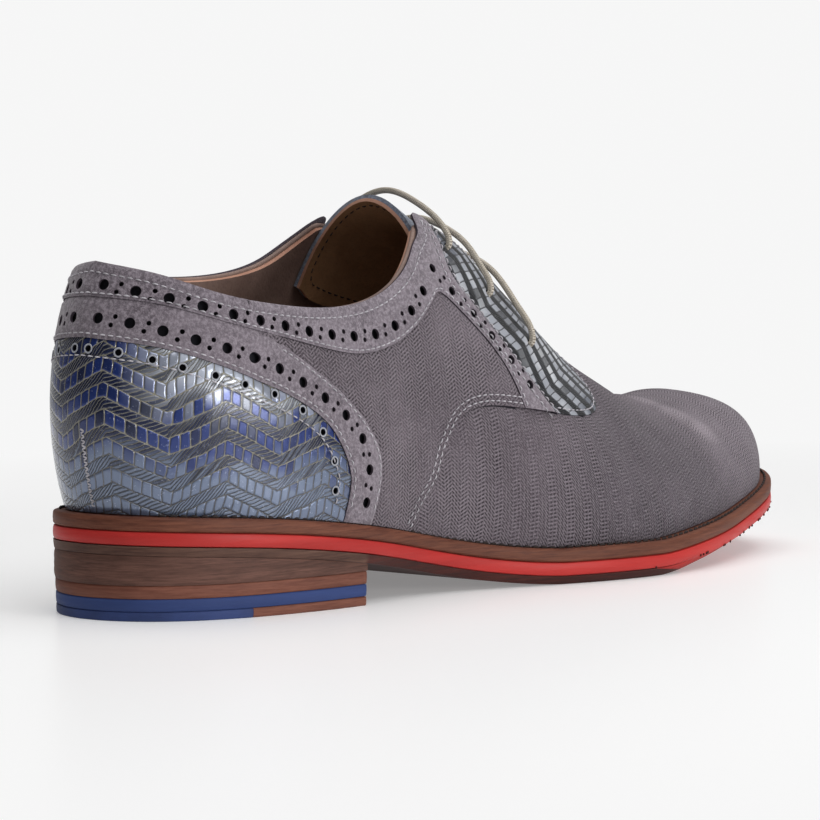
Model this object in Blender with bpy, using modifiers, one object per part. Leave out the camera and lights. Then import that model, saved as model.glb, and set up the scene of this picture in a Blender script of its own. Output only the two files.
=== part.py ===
"""Right shoe of a lace-up pair: leather sole and heel, hollow upper, tongue, panels and laces.

The shoe points along +X with its outer side towards -Y. Lengths are metres.
Every piece of the upper comes from one surface, which rises from the welt to the crown of the last.
"""
import bmesh
import bpy
import numpy as np
from math import radians, sin, cos, pi
from mathutils import Vector

# Sole sizes
LENGTH = 0.3065
BALL_WIDTH = 0.112
HEEL_LENGTH = 0.0755
HEEL_RISE = 0.0184
TOE_RISE = 0.0145
OUTSOLE_THICK = 0.0026
MIDSOLE_THICK = 0.0041
WELT_THICK = 0.0040
TOP_PIECE_THICK = 0.0027
BLUE_LIFT_THICK = 0.0035
TAN_LIFT_THICK = 0.0037
RUBBER_LENGTH = 0.0335
HEEL_TAPER = 0.0006
OUTSOLE_BEVEL = 0.0022
EDGE_ROUND = 0.0006

# Upper sizes
UPPER_HEIGHT = 0.100
WALL = 0.0022
PANEL_THICK = 0.0010
BAND_STEP = 0.0003
COUNTER_STEP = 0.0005
FACING_STEP = 0.0004
TONGUE_THICK = 0.0024
INSOLE_THICK = 0.0030
LACE_DIAMETER = 0.0019

GAP = 0.0003
PANEL_GAP = 0.0008
TONGUE_GAP = 0.0005
PANEL_EDGE = 0.00055
INSOLE_GAP = 0.0014
LACE_GAP = 0.0005
LACE_SAG = 0.0012

# Sole outline from the toe tip back along the outer side to the heel and forward along the inner side.
# Along is a share of LENGTH from the back of the heel, across a share of BALL_WIDTH.
OUTLINE = [
    # along, across
    (1.000, 0.040), (0.985, -0.105), (0.952, -0.215), (0.900, -0.308), (0.830, -0.378),
    (0.760, -0.438), (0.690, -0.478), (0.620, -0.486), (0.545, -0.456), (0.470, -0.390),
    (0.395, -0.334), (0.320, -0.320), (0.245, -0.334), (0.165, -0.320), (0.090, -0.275),
    (0.040, -0.205), (0.010, -0.108), (0.000, 0.010), (0.011, 0.128), (0.042, 0.222),
    (0.100, 0.282), (0.175, 0.265), (0.250, 0.225), (0.325, 0.210), (0.400, 0.245),
    (0.470, 0.318), (0.540, 0.385), (0.615, 0.462), (0.690, 0.508), (0.760, 0.498),
    (0.830, 0.444), (0.900, 0.380), (0.950, 0.305), (0.985, 0.195),
]
# Height of the sole's underside over the floor, as shares of HEEL_RISE and TOE_RISE
UNDERSIDE = [
    # along, heel, toe
    (0.00, 1.000, 0.000), (0.12, 0.890, 0.000), (0.24, 0.670, 0.000), (0.30, 0.510, 0.000),
    (0.36, 0.320, 0.000), (0.42, 0.145, 0.000), (0.48, 0.025, 0.000), (0.54, -0.020, 0.000),
    (0.62, 0.000, -0.020), (0.70, 0.000, 0.120), (0.80, 0.000, 0.340), (0.90, 0.000, 0.690),
    (1.00, 0.000, 1.000),
]

# Wall sections of the upper. Station 0 is at the toe tip, 1 at the back of the heel.
# Sections fan round the toe centre up to TOE_TURN and round the heel centre from HEEL_TURN on.
TOE_CENTRE = (0.885, 0.038)
HEEL_CENTRE = (0.115, 0.000)
TOE_TURN = 0.2
HEEL_TURN = 0.8
TOE_SLOPE = -0.13
# along: crown, share of LENGTH. across: crown, share of BALL_WIDTH. rise: crown over the welt, share
# of UPPER_HEIGHT, as are the reaches of the curve's handles. Leans are degrees. inset: foot from the
# sole's edge, share of BALL_WIDTH.
OUTER_WALL = [
    # station, along, across, rise, crown_lean, crown_reach, foot_lean, foot_reach, inset
    (0.000, 0.885, 0.038, 0.308, 0, 0.250, 3, 0.170, 0.034),
    (0.100, 0.885, 0.038, 0.308, 0, 0.250, 4, 0.165, 0.034),
    (0.200, 0.885, 0.038, 0.308, 0, 0.230, 6, 0.145, 0.036),
    (0.275, 0.790, 0.030, 0.352, 0, 0.230, 8, 0.140, 0.040),
    (0.345, 0.700, 0.022, 0.475, 0, 0.220, 10, 0.160, 0.042),
    (0.400, 0.630, 0.020, 0.610, 2, 0.230, 12, 0.180, 0.040),
    (0.480, 0.527, 0.030, 0.855, 4, 0.310, 14, 0.220, 0.032),
    (0.560, 0.425, 0.045, 1.045, 8, 0.380, 12, 0.270, 0.022),
    (0.590, 0.385, 0.040, 1.090, 16, 0.390, 10, 0.270, 0.019),
    (0.620, 0.348, 0.000, 1.115, 32, 0.400, 9, 0.270, 0.016),
    (0.700, 0.245, -0.135, 0.990, 66, 0.360, 11, 0.240, 0.014),
    (0.800, 0.118, -0.150, 0.880, 64, 0.320, 12, 0.240, 0.022),
    (0.900, 0.072, -0.085, 0.830, 60, 0.330, 15, 0.230, 0.030),
    (1.000, 0.046, 0.030, 0.815, 58, 0.330, 17, 0.225, 0.033),
]
INNER_WALL = [
    (0.000, 0.885, 0.038, 0.308, 0, 0.250, 3, 0.170, 0.034),
    (0.100, 0.885, 0.038, 0.308, 0, 0.255, 4, 0.170, 0.034),
    (0.200, 0.885, 0.038, 0.308, 0, 0.250, 6, 0.155, 0.036),
    (0.275, 0.790, 0.030, 0.352, 0, 0.240, 7, 0.140, 0.040),
    (0.345, 0.700, 0.022, 0.475, 0, 0.230, 8, 0.160, 0.042),
    (0.400, 0.630, 0.020, 0.610, 2, 0.250, 12, 0.180, 0.038),
    (0.480, 0.527, 0.030, 0.855, 4, 0.330, 26, 0.240, 0.028),
    (0.560, 0.425, 0.045, 1.045, 8, 0.390, 46, 0.290, 0.016),
    (0.590, 0.385, 0.052, 1.090, 20, 0.420, 54, 0.310, 0.014),
    (0.620, 0.348, 0.085, 1.090, 42, 0.450, 57, 0.330, 0.014),
    (0.700, 0.245, 0.180, 0.990, 60, 0.410, 46, 0.320, 0.014),
    (0.800, 0.118, 0.187, 0.880, 64, 0.320, 18, 0.240, 0.022),
    (0.900, 0.072, 0.135, 0.830, 60, 0.330, 16, 0.230, 0.030),
    (1.000, 0.046, 0.030, 0.815, 58, 0.330, 17, 0.225, 0.033),
]

# Edges on the upper, as stations and rises over the welt in shares of UPPER_HEIGHT
OUTER_COLLAR = [
    # station, rise
    (0.550, 1.080), (0.562, 1.010), (0.578, 0.935), (0.600, 0.850), (0.630, 0.740), (0.665, 0.655),
    (0.700, 0.612), (0.735, 0.594), (0.770, 0.592), (0.805, 0.600), (0.860, 0.630), (0.920, 0.663),
    (1.000, 0.690),
]
INNER_COLLAR = [
    (0.545, 1.080), (0.560, 0.990), (0.575, 0.920), (0.605, 0.820), (0.640, 0.745), (0.680, 0.695),
    (0.725, 0.670), (0.765, 0.658), (0.805, 0.648), (0.860, 0.650), (0.920, 0.668), (1.000, 0.690),
]
# Half width of the throat either side of the ridge, in shares of BALL_WIDTH
THROAT = [
    # along, half_width
    (0.360, 0.220), (0.430, 0.172), (0.500, 0.124), (0.550, 0.096), (0.580, 0.074), (0.594, 0.045),
    (0.600, 0.000),
]
# Where the facings' front edges run, by the same measure
FACING_FRONT = [
    # along, half_width
    (0.360, 0.250), (0.430, 0.190), (0.500, 0.140), (0.560, 0.112), (0.620, 0.094), (0.660, 0.090),
]
FACING_BACK = [
    # station, rise
    (0.482, 0.398), (0.500, 0.486), (0.522, 0.591), (0.545, 0.693), (0.569, 0.798), (0.575, 0.848),
]
FACING_END = [(0.482, 0.398), (0.455, 0.385), (0.428, 0.387), (0.410, 0.410), (0.399, 0.460)]
SEAM = [
    # station, rise
    (0.640, 0.000), (0.628, 0.087), (0.613, 0.169), (0.605, 0.249), (0.595, 0.315), (0.580, 0.377),
    (0.555, 0.410), (0.520, 0.412), (0.482, 0.398),
]
# The step in the upper's wall lies just behind the seam and under the ends of the facings
SEAM_START = [
    # station, rise
    (0.612, 0.000), (0.600, 0.087), (0.586, 0.165), (0.574, 0.236), (0.560, 0.252), (0.540, 0.262),
    (0.420, 0.268), (0.384, 0.300), (0.368, 0.360), (0.362, 0.460), (0.360, 1.200),
]
# The band of suede runs up the facing, turns at the corner and goes back round the collar
COLLAR_BAND = [
    # low_station, low_rise, high_station, high_rise
    (0.520, 0.412, 0.486, 0.398), (0.527, 0.496, 0.503, 0.486), (0.545, 0.598, 0.525, 0.591),
    (0.568, 0.675, 0.548, 0.693), (0.583, 0.716, 0.573, 0.798), (0.589, 0.724, 0.584, 0.885),
    (0.596, 0.700, 0.598, 0.845), (0.608, 0.656, 0.613, 0.790), (0.635, 0.572, 0.640, 0.700),
    (0.667, 0.510, 0.670, 0.636), (0.698, 0.484, 0.700, 0.600), (0.730, 0.488, 0.733, 0.582),
    (0.770, 0.507, 0.770, 0.580), (0.840, 0.545, 0.840, 0.606), (0.920, 0.584, 0.920, 0.651),
    (1.000, 0.598, 1.000, 0.678),
]
COUNTER_FRONT = [(0.690, 0.000), (0.684, 0.075), (0.680, 0.155), (0.683, 0.230), (0.695, 0.295)]
COUNTER_TOP = [
    (0.695, 0.295), (0.718, 0.368), (0.743, 0.425), (0.765, 0.470), (0.800, 0.519), (0.850, 0.544),
    (0.920, 0.577), (1.000, 0.592),
]
COUNTER_EDGE_FRONT = [(0.720, 0.000), (0.717, 0.060), (0.715, 0.140), (0.722, 0.210)]
COUNTER_EDGE_TOP = [
    (0.722, 0.210), (0.737, 0.280), (0.763, 0.334), (0.800, 0.382), (0.860, 0.432), (0.920, 0.466),
    (1.000, 0.485),
]
# Station at which the quarter's upper edge ends, between the two bands
QUARTER_BACK = 0.756
# How far down each side of the ridge the tongue goes, as a share of the section
TONGUE_REACH = [
    # station, reach
    (0.380, 0.200), (0.430, 0.290), (0.480, 0.340), (0.540, 0.360), (0.590, 0.350),
]
# Eyelets on the outer facing; the inner ones are opposite
EYELETS = [(0.552, 0.874), (0.520, 0.748), (0.485, 0.602)]

# Mesh steps
FINE = 1601
TOE_STATIONS = [0.0, 0.04, 0.08, 0.12, 0.16, 0.2]
VAMP_STATIONS = [0.235, 0.27, 0.305, 0.335, 0.36, 0.385, 0.404]
THROAT_STATIONS = [0.422, 0.425, 0.433, 0.448, 0.475, 0.5, 0.525, 0.545, 0.56, 0.568, 0.575]
COLLAR_STATIONS = [0.583, 0.595, 0.61, 0.63, 0.655, 0.68, 0.71, 0.74, 0.77, 0.8]
HEEL_STATIONS = [0.825, 0.85, 0.875, 0.9, 0.925, 0.95, 0.975, 1.0]
STATIONS = TOE_STATIONS + VAMP_STATIONS + THROAT_STATIONS + COLLAR_STATIONS + HEEL_STATIONS
WALL_STEPS = 13
SOLE_STATIONS = [0.0, 0.03, 0.06, 0.09, 0.12, 0.15, 0.175, 0.2, 0.24, 0.28, 0.32, 0.36, 0.4, 0.44, 0.48,
                 0.52, 0.56, 0.6, 0.64, 0.68, 0.72, 0.76, 0.8, 0.83, 0.86, 0.89, 0.92, 0.95, 0.975, 1.0]

# Colour, roughness
FINISH = {
    "outsole": ((0.16, 0.05, 0.04), 0.55),
    "midsole": ((0.55, 0.06, 0.05), 0.45),
    "welt": ((0.10, 0.05, 0.03), 0.55),
    "heel_stack": ((0.15, 0.09, 0.06), 0.55),
    "heel_lift_tan": ((0.26, 0.11, 0.06), 0.55),
    "heel_lift_blue": ((0.04, 0.07, 0.26), 0.6),
    "heel_rubber": ((0.04, 0.07, 0.26), 0.6),
    "heel_leather": ((0.24, 0.10, 0.06), 0.55),
    "insole": ((0.20, 0.11, 0.06), 0.6),
    "nubuck": ((0.16, 0.14, 0.16), 0.9),
    "suede": ((0.22, 0.20, 0.22), 0.95),
    "woven": ((0.05, 0.09, 0.24), 0.35),
    "facing": ((0.05, 0.05, 0.07), 0.35),
    "tongue": ((0.16, 0.18, 0.22), 0.9),
    "lace": ((0.48, 0.42, 0.36), 0.8),
}


def slopes(at, rows, closed):
    """Slopes at its rows of the smooth cubic curve through them."""
    count = len(rows)
    step = np.diff(at)
    lean = np.diff(rows, axis=0)/step[:, None]
    left = np.zeros((count, count))
    right = np.zeros_like(rows)
    for i in range(1, count - 1):
        left[i, i - 1:i + 2] = step[i], 2*(step[i - 1] + step[i]), step[i - 1]
        right[i] = 3*(step[i]*lean[i - 1] + step[i - 1]*lean[i])
    if closed:
        left[0, 0], left[0, -1] = 1, -1
        left[-1, 0], left[-1, 1] = 2*step[-1], step[-1]
        left[-1, -2], left[-1, -1] = step[0], 2*step[0]
        right[-1] = 3*(step[0]*lean[-1] + step[-1]*lean[0])
    else:
        left[0, 0], left[0, 1], right[0] = 2, 1, 3*lean[0]
        left[-1, -1], left[-1, -2], right[-1] = 2, 1, 3*lean[-1]
    return np.linalg.solve(left, right)


def smooth(at, rows, places, closed=False):
    """Values at the given places of the smooth curve through a table's rows."""
    at = np.asarray(at, float)
    rows = np.asarray(rows, float).reshape(len(at), -1)
    slope = slopes(at, rows, closed)
    places = np.clip(np.asarray(places, float), at[0], at[-1])
    i = np.clip(np.searchsorted(at, places) - 1, 0, len(at) - 2)
    step = (at[i + 1] - at[i])[..., None]
    t = (places[..., None] - at[i][..., None])/step
    return ((1 + 2*t)*(1 - t)**2*rows[i] + t*(1 - t)**2*step*slope[i]
            + t*t*(3 - 2*t)*rows[i + 1] - t*t*(1 - t)*step*slope[i + 1])


def walk(points, count):
    """Even steps along the smooth curve through points."""
    points = np.asarray(points, float)
    run = np.r_[0, np.cumsum(np.linalg.norm(np.diff(points, axis=0), axis=1))]
    return smooth(run/run[-1], points, np.linspace(0, 1, count))


def closed_outline(count=720):
    points = np.array(OUTLINE + OUTLINE[:1])*(LENGTH, BALL_WIDTH)
    run = np.r_[0, np.cumsum(np.linalg.norm(np.diff(points, axis=0), axis=1))]
    return smooth(run, points, np.linspace(0, run[-1], count, endpoint=False), closed=True)


EDGE = closed_outline()
MIDDLE = np.array([LENGTH/2, (EDGE[:, 1].min() + EDGE[:, 1].max())/2, 0])


def underside(x):
    """Height of the sole's underside over the floor."""
    rows = np.array(UNDERSIDE)
    height = rows[:, 1]*HEEL_RISE + rows[:, 2]*TOE_RISE
    return np.maximum(smooth(rows[:, 0]*LENGTH, height, x)[..., 0], 0)


def seat(x):
    """Height of the welt's top, on which the upper stands."""
    return underside(x) + OUTSOLE_THICK + MIDSOLE_THICK + WELT_THICK


def edge_point(centre, way):
    """Where a ray from centre leaves the sole's outline."""
    reach = EDGE - centre
    side = way[0]*reach[:, 1] - way[1]*reach[:, 0]
    following = np.roll(side, -1)
    k = np.where((side*following <= 0) & (reach @ way > 0))[0][0]
    share = side[k]/(side[k] - following[k])
    return EDGE[k]*(1 - share) + EDGE[(k + 1) % len(EDGE)]*share


def ray(station, hand):
    """Centre and heading of a section; hand is -1 on the outer side and 1 on the inner."""
    toe = np.array(TOE_CENTRE)*(LENGTH, BALL_WIDTH)
    heel = np.array(HEEL_CENTRE)*(LENGTH, BALL_WIDTH)
    if station < TOE_TURN:
        turn = pi/2*station/TOE_TURN
        return toe, np.array([cos(turn), hand*sin(turn)])
    if station > HEEL_TURN:
        turn = pi/2*(station - HEEL_TURN)/(1 - HEEL_TURN)
        return heel, np.array([-sin(turn), hand*cos(turn)])
    share = (station - TOE_TURN)/(HEEL_TURN - TOE_TURN)
    return toe*(1 - share) + heel*share, np.array([0.0, hand])


def station_at(x):
    """Station of the section across the shoe at x, between the two fans."""
    share = (TOE_CENTRE[0] - x/LENGTH)/(TOE_CENTRE[0] - HEEL_CENTRE[0])
    return TOE_TURN + share*(HEEL_TURN - TOE_TURN)


def all_sections():
    """Bezier points of every section round the shoe: outer side 0 to 1, inner side 1 to 2."""
    inner = np.array(INNER_WALL)[::-1][1:]
    inner[:, 0] = 2 - inner[:, 0]
    rows = np.vstack([np.array(OUTER_WALL), inner])
    places = np.linspace(0, 2, FINE)
    table = smooth(rows[:, 0], rows[:, 1:], places, closed=True)
    sections = np.zeros((FINE, 4, 3))
    up = np.array([0, 0, 1.0])
    for i, place in enumerate(places):
        hand = -1 if place <= 1 else 1
        station = place if place <= 1 else 2 - place
        along, across, rise, crown_lean, crown_reach, foot_lean, foot_reach, inset = table[i]
        centre, way = ray(station, hand)
        if station <= TOE_TURN:
            along, across, rise = OUTER_WALL[0][1:4]
        elif station < HEEL_TURN:
            along = centre[0]/LENGTH
        foot = edge_point(centre, way) - way*inset*BALL_WIDTH
        foot = np.array([foot[0], foot[1], seat(foot[0]) + GAP])
        crown = np.array([along*LENGTH, across*BALL_WIDTH, 0])
        crown[2] = seat(crown[0]) + rise*UPPER_HEIGHT
        out = np.array([way[0], way[1], 0])
        low, high = radians(foot_lean), radians(crown_lean)
        dip = TOE_SLOPE*way[0] if station < TOE_TURN else 0
        sections[i, 0] = foot
        sections[i, 1] = foot + (out*sin(low) + up*cos(low))*foot_reach*UPPER_HEIGHT
        sections[i, 2] = crown + (out*cos(high) + up*(dip - sin(high)))*crown_reach*UPPER_HEIGHT
        sections[i, 3] = crown
    return sections


SECTIONS = all_sections()


def surface(place, share):
    """Points of the upper's surface; place runs 0 to 2 round the shoe, share 0 to 1 from foot to crown."""
    place, share = np.broadcast_arrays(np.asarray(place, float), np.asarray(share, float))
    at = np.clip(place, 0, 2)/2*(FINE - 1)
    i = np.clip(at.astype(int), 0, FINE - 2)
    f = (at - i)[..., None, None]
    a, b, c, d = np.moveaxis(SECTIONS[i]*(1 - f) + SECTIONS[i + 1]*f, -2, 0)
    t = share[..., None]
    return a*(1 - t)**3 + 3*b*t*(1 - t)**2 + 3*c*t*t*(1 - t) + d*t**3


def outward(place, share):
    """Unit normals of the surface."""
    step = 0.004
    share = np.clip(share, 0, 1 - step)
    across = surface(place + step, share) - surface(place - step, share)
    above = surface(place, share + step) - surface(place, share - step)
    normal = np.cross(above, across)
    return normal/np.linalg.norm(normal, axis=-1, keepdims=True)


def layer(place, share, depth):
    """The surface moved inwards by depth; along the foot it moves level with the sole."""
    point = surface(place, share)
    normal = outward(place, share)
    crown = (np.broadcast_to(share, place.shape) > 0.999999)[..., None]
    both = normal + outward(2 - place, share)
    normal = np.where(crown, both/np.linalg.norm(both, axis=-1, keepdims=True), normal)
    depth = np.asarray(depth)[..., None]
    level = normal*(1, 1, 0)
    level /= (level**2).sum(axis=-1, keepdims=True)
    foot = (np.broadcast_to(share, place.shape) < 1e-6)[..., None]
    return point - np.where(foot, level, normal)*depth


def share_at_rise(place, rise):
    """How far up its section the surface reaches a rise over the welt."""
    t = np.linspace(0, 1, 301)
    line = surface(np.full(301, place), t)
    height = line[:, 2] - seat(line[:, 0])
    top = np.argmax(height)
    return float(np.interp(rise*UPPER_HEIGHT, height[:top + 1], t[:top + 1]))


def across_ridge(x):
    """Where the ridge of the instep lies across the shoe."""
    rows = np.array(OUTER_WALL[3:9])[::-1]
    return smooth(rows[:, 1]*LENGTH, rows[:, 2]*BALL_WIDTH, x)[..., 0]


def beside_ridge(place, table):
    """How far up its section the surface comes to the table's distance from the ridge."""
    hand = -1 if place <= 1 else 1
    x = ray(place if place <= 1 else 2 - place, hand)[0][0]
    along, half = np.array(table).T
    half = smooth(along, half, [x/LENGTH])[0, 0]*BALL_WIDTH
    t = np.linspace(0, 1, 801)
    line = surface(np.full(801, place), t)
    clear = np.where(hand*(line[:, 1] - across_ridge(line[:, 0])) >= half)[0]
    return float(t[clear[-1]])


def wall_top(place):
    """How far up its section the upper goes: to the collar, the throat or the ridge."""
    hand = -1 if place <= 1 else 1
    station = place if place <= 1 else 2 - place
    top = 1.0
    if TOE_TURN < station < 0.62 and ray(station, hand)[0][0] < THROAT[-1][0]*LENGTH:
        top = beside_ridge(place, THROAT)
    collar = OUTER_COLLAR if hand < 0 else INNER_COLLAR
    if station > collar[0][0]:
        at, rise = np.array(collar).T
        top = min(top, share_at_rise(place, smooth(at, rise, [station])[0, 0]))
    return top


def under_panels(place, share):
    """1 where panels cover the upper, 0 on the bare vamp, with a soft ramp between."""
    station = np.where(place <= 1, place, 2 - place)
    point = surface(place, share)
    rise = (point[..., 2] - seat(point[..., 0]))/UPPER_HEIGHT
    rows = np.array(SEAM_START)
    start = np.interp(rise, rows[:, 1], rows[:, 0])
    t = np.clip((station - start)/0.016, 0, 1)
    return t*t*(3 - 2*t)


def clear_scene():
    for obj in list(bpy.data.objects):
        bpy.data.objects.remove(obj, do_unlink=True)


def material(name, finish):
    colour, roughness = FINISH[finish]
    made = bpy.data.materials.new(name)
    made.use_nodes = True
    shader = made.node_tree.nodes["Principled BSDF"]
    shader.inputs["Base Color"].default_value = (*colour, 1)
    shader.inputs["Roughness"].default_value = roughness
    return made


def add_mesh(name, points, faces, finish):
    """A smooth-shaded mesh object in the shoe's collection, centred with the rest of the shoe."""
    mesh = bpy.data.meshes.new(name)
    mesh.from_pydata([tuple(p) for p in np.asarray(points) - MIDDLE], [], faces)
    work = bmesh.new()
    work.from_mesh(mesh)
    bmesh.ops.remove_doubles(work, verts=work.verts, dist=0.00005)
    bmesh.ops.recalc_face_normals(work, faces=work.faces)
    work.to_mesh(mesh)
    work.free()
    mesh.shade_smooth()
    mesh.materials.append(material(name, finish))
    obj = bpy.data.objects.new(name, mesh)
    SHOE.objects.link(obj)
    return obj


def grid_faces(columns, rows, closed=False):
    """Faces of a grid of points stored column by column."""
    faces = []
    for i in range(columns if closed else columns - 1):
        k = (i + 1) % columns
        for j in range(rows - 1):
            faces.append((i*rows + j, k*rows + j, k*rows + j + 1, i*rows + j + 1))
    return faces


def thicken(obj, thickness):
    """Gives a surface its thickness on the inner side."""
    shell = obj.modifiers.new("Thickness", "SOLIDIFY")
    shell.thickness = thickness
    shell.offset = -1
    shell.use_even_offset = False
    shell.use_quality_normals = True


def face_outward(obj):
    """Turns a surface so that its normals point away from the space for the foot."""
    mesh = obj.data
    total = 0.0
    for polygon in mesh.polygons:
        x, y, z = polygon.center
        core = Vector((min(max(x, -0.11), 0.11), 0.0, 0.045))
        total += polygon.area*polygon.normal.dot(polygon.center - core)
    if total < 0:
        mesh.flip_normals()


def rim_places(first=0.0, last=1.0, part=False):
    """Places round the sole: along the outer side from the toe, round the heel and back."""
    stations = [first] + [s for s in SOLE_STATIONS if first < s < last] + [last]
    back = [2 - s for s in stations[-2::-1]]
    return np.array(stations + (back if part else back[:-1]))


def rim(places, inset):
    """Points of the sole's edge, moved in by inset."""
    spots = []
    for place in places:
        near = []
        for at in ((place - 0.002) % 2, place % 2, (place + 0.002) % 2):
            near.append(edge_point(*ray(min(at, 2 - at), -1 if at <= 1 else 1)))
        along = near[2] - near[0]
        along /= np.linalg.norm(along)
        spots.append(near[1] + inset*np.array([along[1], -along[0]]))
    return np.array(spots)


def spine(places):
    """The middle of the sole opposite each place; round the toe and the heel it stands still."""
    return np.array([ray(min(place, 2 - place), -1)[0]*(1, 0) for place in places])


def cap(middle, first, centre, loop, whole=True):
    """Faces between a loop of rim points and the middle of the sole."""
    faces = []
    for i in range(loop if whole else loop - 1):
        k = (i + 1) % loop
        if np.allclose(middle[i], middle[k]):
            faces.append((first + i, first + k, centre + i))
        else:
            faces.append((first + i, first + k, centre + k, centre + i))
    return faces


def plate(name, profile, low, high, finish, places):
    """A layer of the sole between two levels; profile rows are an inset and a share of the height."""
    loop = len(places)
    whole = places[0] == 0
    middle = spine(places)
    points = []
    for inset, share in profile:
        edge = rim(places, inset)
        level = low(edge[:, 0])*(1 - share) + high(edge[:, 0])*share
        points += list(np.column_stack([edge, level]))
    faces = []
    for j in range(len(profile) - 1):
        for i in range(loop if whole else loop - 1):
            k = (i + 1) % loop
            faces.append((j*loop + i, j*loop + k, (j + 1)*loop + k, (j + 1)*loop + i))
    bottom = len(points)
    top = bottom - loop
    for level in (low, high):
        points += list(np.column_stack([middle, level(middle[:, 0])]))
    faces += cap(middle, 0, bottom, loop, whole)
    faces += cap(middle, top, bottom + loop, loop, whole)
    if not whole:
        faces.append((0, bottom, loop - 1, top + loop - 1, bottom + loop, top))
    add_mesh(name, points, faces, finish)


def heel_block(name, low, high, start, stop, finish):
    """A flat layer of the heel between two levels and two distances from its back."""
    places = np.concatenate([np.linspace(0.62, 1, 39), np.linspace(1, 1.38, 39)[1:]])
    rings = []
    for level in (low, high):
        inset = HEEL_TAPER*(1 - level/HEEL_RISE) + GAP
        edge = rim(places, inset)
        ring = []
        for a, b in zip(edge[:-1], edge[1:]):
            if start < a[0] < stop:
                ring.append(a)
            for cut in (start, stop):
                if (a[0] - cut)*(b[0] - cut) < 0:
                    ring.append(a + (b - a)*(cut - a[0])/(b[0] - a[0]))
        rings.append(ring)
    count = len(rings[0])
    points = [(x, y, level) for ring, level in zip(rings, (low, high)) for x, y in ring]
    faces = [(i, (i + 1) % count, count + (i + 1) % count, count + i) for i in range(count)]
    faces += [tuple(range(count)), tuple(range(count, 2*count))]
    add_mesh(name, points, faces, finish)


def upper_body():
    """The hollow upper: open at the collar, the throat and underneath."""
    places = STATIONS + [2 - s for s in STATIONS[::-1][1:-1]]
    rows = WALL_STEPS + 1
    points = []
    for place in places:
        share = np.linspace(0, 1, rows)*wall_top(place)
        depth = (PANEL_THICK + PANEL_GAP)*under_panels(np.full(rows, place), share)
        points += list(layer(np.full(rows, place), share, depth))
    faces = grid_faces(len(places), rows, closed=True)
    obj = add_mesh("upper", points, faces, "nubuck")
    face_outward(obj)
    thicken(obj, WALL)


def boundary(rows, count, hand):
    """Places and shares along an edge given as stations and rises."""
    line = walk(rows, count)
    places = line[:, 0] if hand < 0 else 2 - line[:, 0]
    return np.array([(place, share_at_rise(place, rise)) for place, rise in zip(places, line[:, 1])])


def straight(start, end, count):
    """Places and shares along a straight edge between two others' ends."""
    return np.linspace(start, end, count)


def fill(low, high, left, right):
    """Places and shares over the patch between four edges; low and high run left to right."""
    u = np.linspace(0, 1, len(low))[:, None, None]
    v = np.linspace(0, 1, len(left))[None, :, None]
    ends = (1 - v)*((1 - u)*low[0] + u*low[-1]) + v*((1 - u)*high[0] + u*high[-1])
    return (1 - v)*low[:, None] + v*high[:, None] + (1 - u)*left[None] + u*right[None] - ends


def drawn_in(patch, edge):
    """The patch drawn in by edge all round, so that its neighbours stand clear."""
    for axis in (0, 1):
        lines = np.moveaxis(patch, axis, 0)
        spots = surface(lines[..., 0], lines[..., 1])
        run = np.cumsum(np.linalg.norm(np.diff(spots, axis=0), axis=-1), axis=0)
        run = np.vstack([np.zeros((1, run.shape[1])), run])
        inner = np.empty_like(lines)
        for i in range(lines.shape[1]):
            at = np.interp(run[:, i], (0, run[-1, i]), (edge, run[-1, i] - edge))
            inner[:, i, 0] = np.interp(at, run[:, i], lines[:, i, 0])
            inner[:, i, 1] = np.interp(at, run[:, i], lines[:, i, 1])
        patch = np.moveaxis(inner, 0, axis)
    return patch


def panel(name, patch, step, finish):
    """A panel let into the upper, its outer face standing over the vamp by step."""
    patch = drawn_in(patch, PANEL_EDGE)
    place = patch[..., 0]
    points = layer(place, np.clip(patch[..., 1], 0, 1), np.full(place.shape, -step))
    obj = add_mesh(name, points.reshape(-1, 3), grid_faces(*place.shape), finish)
    face_outward(obj)
    thicken(obj, PANEL_THICK + step)


def collar_rise(station, hand):
    at, rise = np.array(OUTER_COLLAR if hand < 0 else INNER_COLLAR).T
    return smooth(at, rise, np.asarray(station))[..., 0]


def band_edges(hand):
    """Lower and upper edge rows of the collar's band on one side."""
    low, high = [], []
    for i, (low_station, low_rise, high_station, high_rise) in enumerate(COLLAR_BAND):
        if i > 4:
            high_rise = float(collar_rise(high_station, hand)) - 0.012
            extra = float(collar_rise(high_station, hand) - collar_rise(high_station, -1))
            low_rise += extra*np.clip((0.77 - low_station)/0.06, 0, 1)*np.clip((low_station - 0.59)/0.04, 0, 1)
        low.append((low_station, low_rise))
        high.append((high_station, high_rise))
    return low, high


def round_back(rows, count, inner_rows=None):
    """An edge from the outer side round the heel to the inner side."""
    outer = boundary(rows, count, -1)
    inner = boundary(inner_rows or rows, count, 1)
    return np.vstack([outer, inner[::-1][1:]])


def quarter(name, hand):
    """The panel between the vamp, the facing, the collar's band and the counter's band."""
    front = boundary(SEAM[:8], 10, hand)
    back = boundary(COUNTER_FRONT + COUNTER_TOP[1:4], 10, hand)
    edge = boundary(band_edges(hand)[0], 120, hand)
    beyond = np.abs(edge[:, 0] - 1) < 1 - QUARTER_BACK
    top = edge[np.linspace(0, np.argmax(beyond), 16).astype(int)]
    top[1:-1, 1] -= 0.003
    top[0], top[-1] = front[-1], back[-1]
    low = straight(front[0], back[0], len(top))
    panel(name, fill(low, top, front, back), 0.0, "nubuck")


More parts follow.
